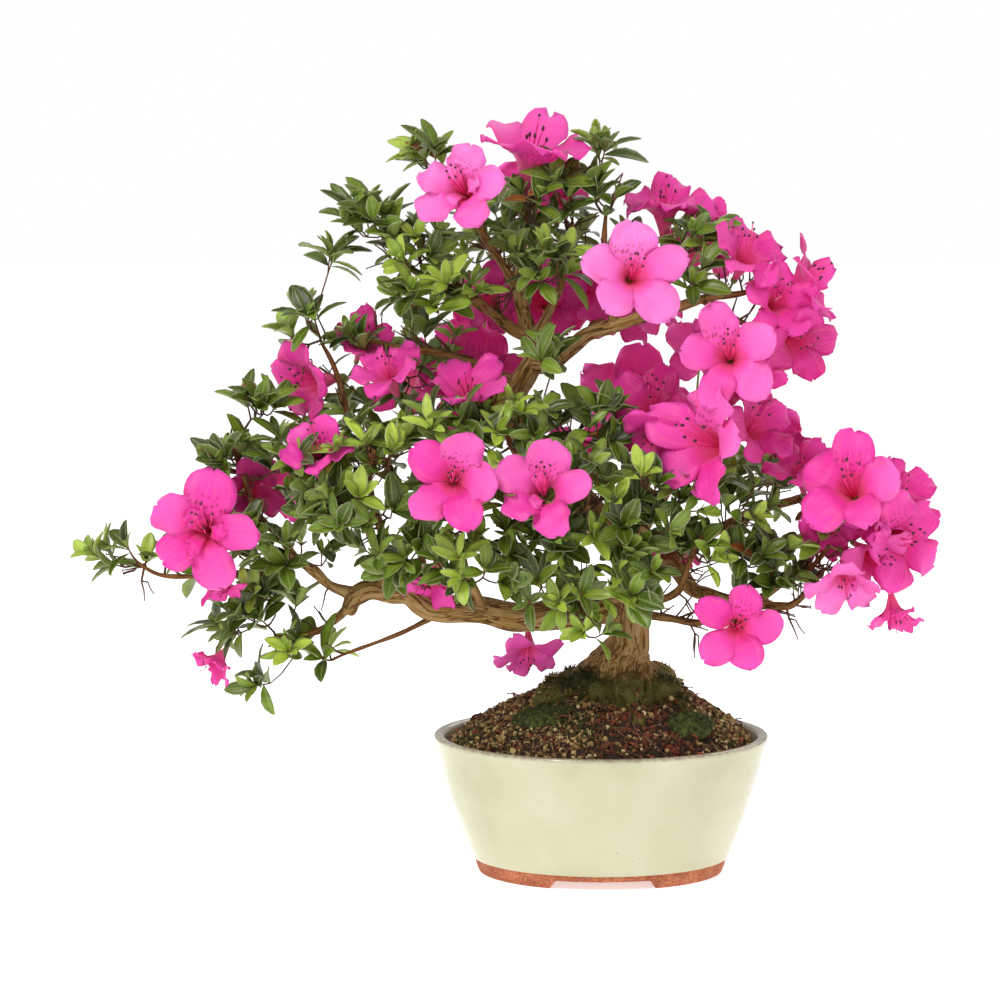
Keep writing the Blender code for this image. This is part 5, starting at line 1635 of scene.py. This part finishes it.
# In the order of the CAD's flowers, which give each one's place and width.
CAD_BLOOMS: list[Bloom] = [
    Bloom((0.15, -0.25, 0.95), 0.45, 0.85, 0, (-42, -14, 322)),
    Bloom((-0.3, -0.9, 0.3), 0.15, 1.0, 3, (-84, -62, 302)),
    Bloom((0.1, -0.97, 0.2), 0.05, 1.0, 0, (16, -78, 253)),
    Bloom((0.0, -0.2, 0.95), 0.6, 0.8, 0, (37, 6, 289)),
    Bloom((0.3, -0.6, 0.7), 0.5, 0.85, 0, (84, -32, 262)),
    Bloom((0.85, -0.35, 0.3), 0.6, 0.8, 0, (120, -12, 244)),
    Bloom((-0.1, -0.95, 0.2), 0.3, 1.0, 0, (71, -75, 206)),
    Bloom((0.4, -0.8, -0.3), 0.85, 0.9, 0, (114, -26, 209)),
    Bloom((0.0, -0.6, -0.6), 0.7, 0.9, 0, (11, 20, 223)),
    Bloom((0.0, -0.8, 0.2), 0.6, 0.9, 0, (-34, 32, 230)),
    Bloom((0.0, -0.9, 0.3), 0.6, 0.9),
    Bloom((-0.3, -0.5, 0.75), 0.5, 0.8),
    Bloom((-0.7, -0.5, -0.1), 0.75, 0.9),
    Bloom((-0.2, -0.7, 0.7), 0.4, 0.8, 0, (-168, -58, 149), 0.8),
    Bloom((-0.1, -1.0, 0.05), 0.5, 1.05, 4, (-233, -79, 104), 1.0),
    Bloom((-0.5, -0.4, -0.7), 0.6, 0.5, 0, (-230, -20, 18), 0.62),
    Bloom((0.0, -1.0, 0.1), 0.4, 0.95),
    Bloom((-0.1, -0.9, 0.4), 0.35, 0.9, 2),
    Bloom((0.0, -0.6, -0.8), 0.35, 1.0, 0, (-44, 0, 20), 0.85),
    Bloom((-0.1, -0.75, 0.65), 0.85, 0.85, 0, (30, -20, 170)),
    Bloom((-0.65, -0.7, 0.1), 0.4, 0.95, 0, (57, -70, 154)),
    Bloom((0.5, -0.6, 0.4), 0.75, 0.85, 0, (90, -32, 160)),
    Bloom((0.0, -1.0, -0.05), 0.45, 1.05),
    Bloom((-0.2, -0.85, 0.45), 0.4, 1.0, 0, (143, -67, 130)),
    Bloom((0.3, -0.75, 0.55), 0.6, 0.9, 0, (178, -2, 114)),
    Bloom((0.5, -0.85, 0.05), 0.55, 1.0, 0, (176, -38, 93)),
    Bloom((0.0, -0.7, -0.7), 0.12, 0.85, 0, (142, -48, 70)),
    Bloom((0.1, 0.9, 0.3), 0.4, 1.0, 0, (24, 104, 158)),
]
MORE_BLOOMS: list[Bloom] = [
    Bloom((0.1, -0.5, 0.8), 0.7, 0.8, 0, (-25, 25, 291), 0.85),
    Bloom((0.2, -0.3, 0.9), 0.6, 0.7, 0, (62, 16, 280), 0.75),
    Bloom((0.2, -0.7, -0.5), 0.8, 0.9, 0, (88, -26, 187), 0.85),
    Bloom((0.35, -0.8, 0.2), 0.5, 0.9, 0, (103, -34, 234), 0.95),
    Bloom((0.5, -0.7, -0.3), 0.45, 0.95, 0, (160, -40, 84), 0.95),
    Bloom((0.1, -0.8, -0.4), 0.7, 0.9, 0, (134, -34, 100), 0.85),
    Bloom((0.7, -0.6, 0.2), 0.6, 0.95, 0, (170, -18, 105), 0.95),
    Bloom((0.1, -0.5, -0.8), 0.45, 0.9, 0, (32, 4, 224), 0.75),
    Bloom((0.1, -0.35, -0.93), 0.7, 0.6, 0, (-225, -46, 68), 0.62),
    Bloom((-0.1, -0.85, 0.3), 0.7, 0.95, 0, (138, -34, 123), 0.95),
    Bloom((-0.2, -0.8, 0.2), 0.8, 0.9, 0, (-66, 30, 231), 0.85),
    Bloom((0.2, -0.8, 0.1), 0.7, 0.9, 0, (-12, 34, 236), 0.85),
    Bloom((-0.1, -0.5, 0.85), 0.5, 0.8, 0, (-80, -40, 184), 1.0),
    Bloom((0.2, -0.5, 0.6), 0.95, 0.8, 0, (-143, 0, 208), 0.8),
    Bloom((0.3, -0.6, -0.1), 0.9, 0.8, 0, (-208, -20, 122), 0.85),
    Bloom((-0.2, -0.7, -0.6), 0.4, 0.8, 0, (-103, -26, 66), 0.75),
    Bloom((-0.3, -0.85, -0.3), 0.6, 0.9, 0, (28, -50, 155), 0.9),
    Bloom((0.0, -0.6, -0.8), 0.5, 0.8, 0, (41, 10, 81), 0.8),
    Bloom((-0.1, -0.5, 0.8), 0.65, 0.85, 0, (118, -24, 134), 0.9),
    Bloom((0.1, -0.4, -0.9), 0.6, 0.6, 0, (172, -38, 50), 0.75),
    Bloom((0.3, -0.7, 0.6), 0.6, 0.9, 0, (159, -24, 112), 0.95),
    Bloom((-0.3, 0.9, 0.3), 0.5, 1.0, 0, (-120, 78, 178), 1.0),
    Bloom((0.2, 0.9, 0.4), 0.3, 1.0, 2, (66, 84, 196), 1.0),
    Bloom((0.5, 0.8, 0.2), 0.6, 0.9, 0, (112, 58, 138), 0.95),
    Bloom((-0.1, 0.9, 0.5), 0.4, 0.9, 0, (-40, 66, 298), 0.95),
    Bloom((-0.5, 0.8, 0.1), 0.6, 1.0, 0, (-180, 52, 116), 0.95),
    Bloom((0.1, 1.0, 0.0), 0.5, 1.0, 0, (-20, 104, 122), 0.95),
    Bloom((0.5, 0.6, 0.6), 0.7, 0.9, 0, (60, 46, 262), 0.9),
    Bloom((-0.2, 0.9, 0.4), 0.45, 1.0, 0, (-78, 92, 206), 0.9),
    Bloom((0.7, 0.6, 0.2), 0.5, 0.9, 0, (160, 30, 104), 0.9),
]


@dataclass
class Flowers:
    """The flowers: five-lobed funnels with stamens, a style, a green calyx and a stalk."""

    site: Site
    crown: Crown
    width: float = 56.0
    tube: float = 17.0
    mouth: float = 6.2
    lobe_half: float = 10.6
    sag: float = 8.0  # how far a bloom hangs below its CAD place
    stalk_radius: float = 0.75
    stalk_rings: int = 8
    across: int = 8
    along: int = 15

    def build(self) -> None:
        """Builds every flower, the CAD's first."""
        rng = random.Random(SEED + 4)
        for number, bloom in enumerate(CAD_BLOOMS, 1):
            node = f"flower_{number:02d}"
            middle, share = self.measured(node, bloom)
            self.flower(f"bloom_{number:02d}", bloom, middle, share, rng, node)
        for number, bloom in enumerate(MORE_BLOOMS, len(CAD_BLOOMS) + 1):
            middle = self.site.place(*bloom.middle)
            self.flower(f"bloom_{number:02d}", bloom, middle, bloom.share, rng)

    def measured(self, node: str, bloom: Bloom) -> tuple[np.ndarray, float]:
        """Finds a CAD flower's rim, and its width as a share of the usual one.

        Args:
            node: the flower's node.
            bloom: the flower, for the way it faces.

        Returns:
            The rim's middle in millimetres, and the share.
        """
        points = np.unique((coordinates(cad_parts[node].data) / MM).round(2), axis=0)
        widest = max(np.linalg.norm(points - point, axis=1).max() for point in points)
        share = bloom.share * widest / (self.width * math.sin(math.radians(72)))
        if bloom.middle:
            return self.site.place(*bloom.middle), share
        facing = unit(np.array(bloom.facing))
        centre = (points.min(axis=0) + points.max(axis=0)) / 2
        return centre + facing * ((points - centre) @ facing).max() - (0, 0, self.sag), share

    def petal(self, bloom: Bloom, turn: float, lift: float, rng: random.Random, reach: float = 1.0,
              slim: float = 1.0) -> tuple[np.ndarray, np.ndarray]:
        """Shapes one lobe with its fifth of the tube.

        Args:
            bloom: the flower.
            turn: the lobe's angle round the flower.
            lift: how far the lobe is raised at one edge over its neighbour.
            rng: the seeded source of chance.
            reach: the lobe's length as a share.
            slim: the lobe's width as a share.

        Returns:
            The lobe's points and its places across and along.
        """
        u, v = np.meshgrid(np.linspace(-1, 1, self.across + 1), np.linspace(0, 1, self.along + 1))
        u, v = u.ravel(), v.ravel()
        joint = 0.36
        in_tube = np.clip(v / joint, 0, 1)
        lobe = np.clip((v - joint) / (1 - joint), 0, 1)
        start, stop = math.radians(14), math.radians(14 + 70 * bloom.open + rng.uniform(-22, 20))
        curl_back = rng.uniform(0.0, 1.0)
        length = (self.width / 2 - self.mouth) * 1.1 * reach
        steps = np.linspace(0, 1, 60)
        bend = start + (stop - start) * np.minimum(steps * 2.2, 1.0) ** 0.8 + curl_back * steps**3
        run = np.concatenate([[0], np.cumsum(np.sin(bend[:-1]) / 59)]) * length
        rise = np.concatenate([[0], np.cumsum(np.cos(bend[:-1]) / 59)]) * length
        foot_radius = 1.5
        funnel = foot_radius + (self.mouth - foot_radius) * in_tube**1.5
        radius = np.where(v < joint, funnel, self.mouth + np.interp(lobe, steps, run))
        height = np.where(v < joint, -self.tube * (1 - in_tube), np.interp(lobe, steps, rise))
        base = self.mouth * math.sin(math.pi / 5)
        full = self.lobe_half * slim
        grow = 1 - (1 - np.clip(lobe / 0.55, 0, 1)) ** 2.0
        closing = np.clip((lobe - 0.52) / 0.49, 0, 1)
        half = (base + (full - base) * grow) * (1 - closing ** rng.uniform(1.8, 2.4)) ** 0.56
        tip = 1.0 - 0.05 * np.exp(-((u / 0.25) ** 2)) * (lobe > 0.92) * rng.choice((0, 1, 1))
        angle = u * (math.pi / 5 + 0.05)
        flat = self.mouth * (1 - np.cos(angle)) * np.exp(-7 * lobe)
        x = np.where(v < joint, radius * np.cos(angle), radius * tip - flat)
        y = np.where(v < joint, radius * np.sin(angle), half * u)
        y = y + rng.uniform(-2.6, 2.6) * lobe**2
        waves, phase = rng.uniform(8, 14), rng.uniform(0, 6)
        ruffle = rng.uniform(1.6, 3.4) * np.abs(u) ** 1.6
        wave = (ruffle * np.sin(lobe * waves + phase + u * rng.uniform(1.5, 3.5))
                + 0.5 * np.sin(lobe * 6 + phase) * (1 - u**2)) * np.clip(lobe * 2.2, 0, 1)
        cup = u**2 * lobe * (1 - 0.4 * lobe) * rng.uniform(-2.0, 2.6)
        ridge = -1.9 * np.exp(-((u / 0.3) ** 2)) * lobe * (1 - lobe)
        z = height + cup + wave + ridge + (lift * lobe * (1 - 0.4 * lobe) + 0.12) * u
        tilt = rng.uniform(-0.5, 0.5) * lobe
        y, z = y * np.cos(tilt) - (z - height) * np.sin(tilt), z + y * np.sin(tilt)
        cos, sin = math.cos(turn), math.sin(turn)
        return np.stack([x * cos - y * sin, x * sin + y * cos, z], axis=1), np.stack([u, v], axis=1)

    def grid_faces(self) -> list[tuple[int, ...]]:
        """Lists a lobe's faces, which look into the flower."""
        row = self.across + 1
        return [(j * row + i, (j + 1) * row + i, (j + 1) * row + i + 1, j * row + i + 1)
                for j in range(self.along) for i in range(self.across)]

    def flower(self, name: str, bloom: Bloom, middle: np.ndarray, share: float, rng: random.Random,
               *nodes: str) -> None:
        """Builds one flower at its place.

        Args:
            name: the piece's name.
            bloom: the flower.
            middle: the middle of its rim, in millimetres.
            share: its width, as a share of the usual one.
            rng: the seeded source of chance.
            nodes: the CAD node that it stands for, if any.
        """
        facing = unit(np.array(bloom.facing))
        guess = np.array([0.0, 0.0, 1.0]) if abs(facing[2]) < 0.8 else np.array([0.0, -1.0, 0.0])
        upward = unit(guess - facing * (guess @ facing))
        basis = np.stack([upward, np.cross(facing, upward), facing])
        petals = Batch()
        first = rng.uniform(-0.3, 0.3)
        for k in range(5):
            turn = first + k * math.tau / 5 + rng.uniform(-0.12, 0.12)
            points, uv = self.petal(bloom, turn, rng.uniform(0.9, 1.8), rng,
                                    rng.uniform(0.84, 1.08) + 0.06 * (k == 0),
                                    rng.uniform(0.8, 1.04) + 0.1 * (k == 0))
            spots = (0.75, 0.08, 0.0, 0.0, 0.08)[k]
            petals.add(points, self.grid_faces(), blade=np.column_stack([uv, np.full(len(uv), spots)]),
                       tone=float(np.clip(bloom.tone + rng.uniform(-0.12, 0.14), 0, 1)))
        for k in range(bloom.doubles):
            points, uv = self.petal(bloom, first + 0.6 + k * 2.2, 0.5, rng, rng.uniform(0.35, 0.6), 0.5)
            points = points * (0.7, 0.7, 1.0) + (0, 0, 2.5)
            blade = np.column_stack([uv, np.zeros(len(uv))])
            petals.add(points, self.grid_faces(), blade=blade, tone=bloom.tone)
        piece = petals.build(name, [finish(AzaleaPetal())])
        deselect()
        piece.select_set(True)
        bpy.context.view_layer.objects.active = piece
        sheet = piece.modifiers.new("thickness", "SOLIDIFY")
        sheet.thickness = 0.4
        sheet.offset = 0.0
        bpy.ops.object.modifier_apply(modifier=sheet.name)
        self.add_heart(piece, bloom, rng)
        points = coordinates(piece.data) * share
        depth = 4.0 * share
        write_points(piece.data, (points @ basis + middle - facing * depth) * MM)
        self.add_stalk(piece, middle - facing * (depth + (self.tube - 0.5) * share), facing)
        settle(piece, "petal", *nodes)

    def slots(self) -> list[bpy.types.Material]:
        """Gives a flower's materials in the order of its slots."""
        return [finish(AzaleaPetal()), finish(Finish.FILAMENT), finish(Finish.ANTHER), finish(Finish.SEPAL)]

    def add_heart(self, piece: bpy.types.Object, bloom: Bloom, rng: random.Random) -> None:
        """Adds the stamens, the style and the calyx.

        Args:
            piece: the flower, in its own frame.
            bloom: the flower; not used.
            rng: the seeded source of chance.
        """
        parts = Batch()
        deselect()
        bpy.ops.mesh.primitive_ico_sphere_add(subdivisions=1, radius=1.0)
        bead = Shape.taken_from(bpy.context.object)
        lean = rng.uniform(-0.15, 0.1)
        for k in range(6):
            style = k == 5
            turn = k * math.tau / 5 + rng.uniform(-0.3, 0.3)
            long = 22.0 if style else rng.uniform(10.0, 17.0)
            spread = 1.6 if style else rng.uniform(2.4, 6.0)
            t = np.linspace(0, 1, 8)
            reach = spread * t**1.4
            rows = np.stack([reach * math.cos(turn) + lean * 18 * t**2 + 6.5 * t**3, reach * math.sin(turn),
                             -self.tube * 0.8 + (self.tube * 0.8 + long) * t,
                             np.full(8, 0.36 if style else 0.28)], axis=1)
            points, faces = swept(rows, 5)
            parts.add(points, faces, slot=1)
            tip = rows[-1, :3]
            if style:
                parts.add(bead.points * 0.75 + tip, bead.faces, slot=2)
            else:
                parts.add(bead.points * (0.75, 0.75, 1.35) + tip, bead.faces, slot=2)
        calyx = ((-2.4, 1.2), (-1.2, 2.0), (0.6, 2.1), (2.2, 1.9))
        rows = np.array([(0, 0, -self.tube + rise, radius) for rise, radius in calyx])
        points, faces = swept(rows, 10)
        parts.add(points, faces, slot=3)
        heart = parts.build(piece.name + "_heart", self.slots())
        self.merge(piece, heart)

    def add_stalk(self, piece: bpy.types.Object, foot: np.ndarray, facing: np.ndarray) -> None:
        """Adds a stalk from the flower's foot to the nearest twig.

        Args:
            piece: the flower, in place.
            foot: the flower's foot, in millimetres.
            facing: the way the flower faces.
        """
        net = self.crown.net
        aim = foot - facing * 12.0
        start = net[int(np.linalg.norm(net[:, :3] - aim, axis=1).argmin())]
        bow = np.array([start[:3], start[:3] + (aim - start[:3]) * 0.5, foot - facing * 8.0, foot])
        rows = np.hstack([bezier(bow, self.stalk_rings), np.full((self.stalk_rings, 1), self.stalk_radius)])
        parts = Batch()
        points, faces = swept(rows, 6)
        parts.add(points * MM, faces, slot=3)
        stalk = parts.build(piece.name + "_stalk", self.slots())
        self.merge(piece, stalk)

    def merge(self, piece: bpy.types.Object, part: bpy.types.Object) -> None:
        """Joins a part to its flower."""
        deselect()
        part.select_set(True)
        piece.select_set(True)
        bpy.context.view_layer.objects.active = piece
        bpy.ops.object.join()


# ---------------------------------------------------------------- studio


@dataclass
class Studio:
    """A pale floor, soft lights and the camera."""

    site: Site
    distance: float = 2.2
    elevation: float = 7.2
    width: float = 0.6

    def build(self) -> None:
        """Builds the studio."""
        self.floor()
        self.world()
        self.lights()
        self.camera()

    def floor(self) -> None:
        """Lays the floor."""
        deselect()
        bpy.ops.mesh.primitive_plane_add(size=12.0, location=(0, 0, 0))
        floor = bpy.context.object
        floor.name = "studio_floor"
        made, tree = new_material("white_paper")
        shader = add_node(
            tree, "BsdfPrincipled",
            {"Base Color": "#fbfbfb", "Roughness": 0.9, "Emission Color": "#ffffff", "Emission Strength": 0.55}
        )
        add_node(tree, "OutputMaterial", {"Surface": shader})
        floor.data.materials.append(made)

    def world(self) -> None:
        """Lights the room evenly, and shows it white."""
        world = bpy.data.worlds.new("room")
        bpy.context.scene.world = world
        world.use_nodes = True
        tree = world.node_tree
        tree.nodes.clear()
        seen = add_node(tree, "LightPath").outputs["Is Camera Ray"]
        lit = add_node(tree, "Background", {"Color": "#ffffff", "Strength": 0.55})
        shown = add_node(tree, "Background", {"Color": "#ffffff", "Strength": 1.0})
        mix = add_node(tree, "MixShader", {0: seen, 1: lit, 2: shown})
        add_node(tree, "OutputWorld", {"Surface": mix})

    def lights(self) -> None:
        """Hangs the soft key, the fill and a light from behind."""
        aim = Vector((0, 0, 0.22))
        for name, place, size, power in (
            ("key", (-0.8, -1.4, 1.7), 0.8, 27.0),
            ("fill", (1.5, -1.3, 0.8), 1.2, 4.0),
            ("left wall", (-1.6, 0.3, 0.5), 1.6, 8.0),
            ("right wall", (1.7, 0.3, 0.5), 1.6, 8.0),
            ("rear", (0.5, 1.4, 1.3), 1.2, 6.0),
        ):
            data = bpy.data.lights.new(name, "AREA")
            data.size = size
            data.energy = power
            lamp = bpy.data.objects.new(name, data)
            bpy.context.scene.collection.objects.link(lamp)
            lamp.location = place
            lamp.rotation_euler = (aim - Vector(place)).to_track_quat("-Z", "Y").to_euler()

    def camera(self) -> None:
        """Sets the camera a little above the pot, a long lens away."""
        data = bpy.data.cameras.new("camera")
        data.sensor_width = 36.0
        data.lens = data.sensor_width * self.distance / self.width
        data.clip_end = 50.0
        camera = bpy.data.objects.new("camera", data)
        bpy.context.scene.collection.objects.link(camera)
        tilt = math.radians(self.elevation)
        aim = Vector(((self.site.pot_x - 61.0) * MM, self.site.pot_y * MM, 0.226))
        camera.location = aim + Vector((0, -math.cos(tilt), math.sin(tilt))) * self.distance
        camera.rotation_euler = (aim - camera.location).to_track_quat("-Z", "Y").to_euler()
        bpy.context.scene.camera = camera


def main() -> None:
    """Builds the bonsai's looks and the studio, in order."""
    site = Site.from_frame()
    bpy.context.scene.view_settings.view_transform = "Standard"
    Pot(site).build()
    DrainScreens().build()
    wood = Wood(site)
    wood.build()
    SoilBed(site).build()
    crown = Crown(site, wood)
    crown.build()
    Flowers(site, crown).build()
    Studio(site).build()


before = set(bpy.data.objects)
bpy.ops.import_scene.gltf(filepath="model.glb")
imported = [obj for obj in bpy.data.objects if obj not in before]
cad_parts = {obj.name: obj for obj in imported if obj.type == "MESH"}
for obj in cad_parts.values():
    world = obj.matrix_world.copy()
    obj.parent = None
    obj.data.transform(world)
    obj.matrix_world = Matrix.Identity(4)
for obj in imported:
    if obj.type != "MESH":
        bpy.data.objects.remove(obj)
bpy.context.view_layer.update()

if __name__ == "__main__":
    main()
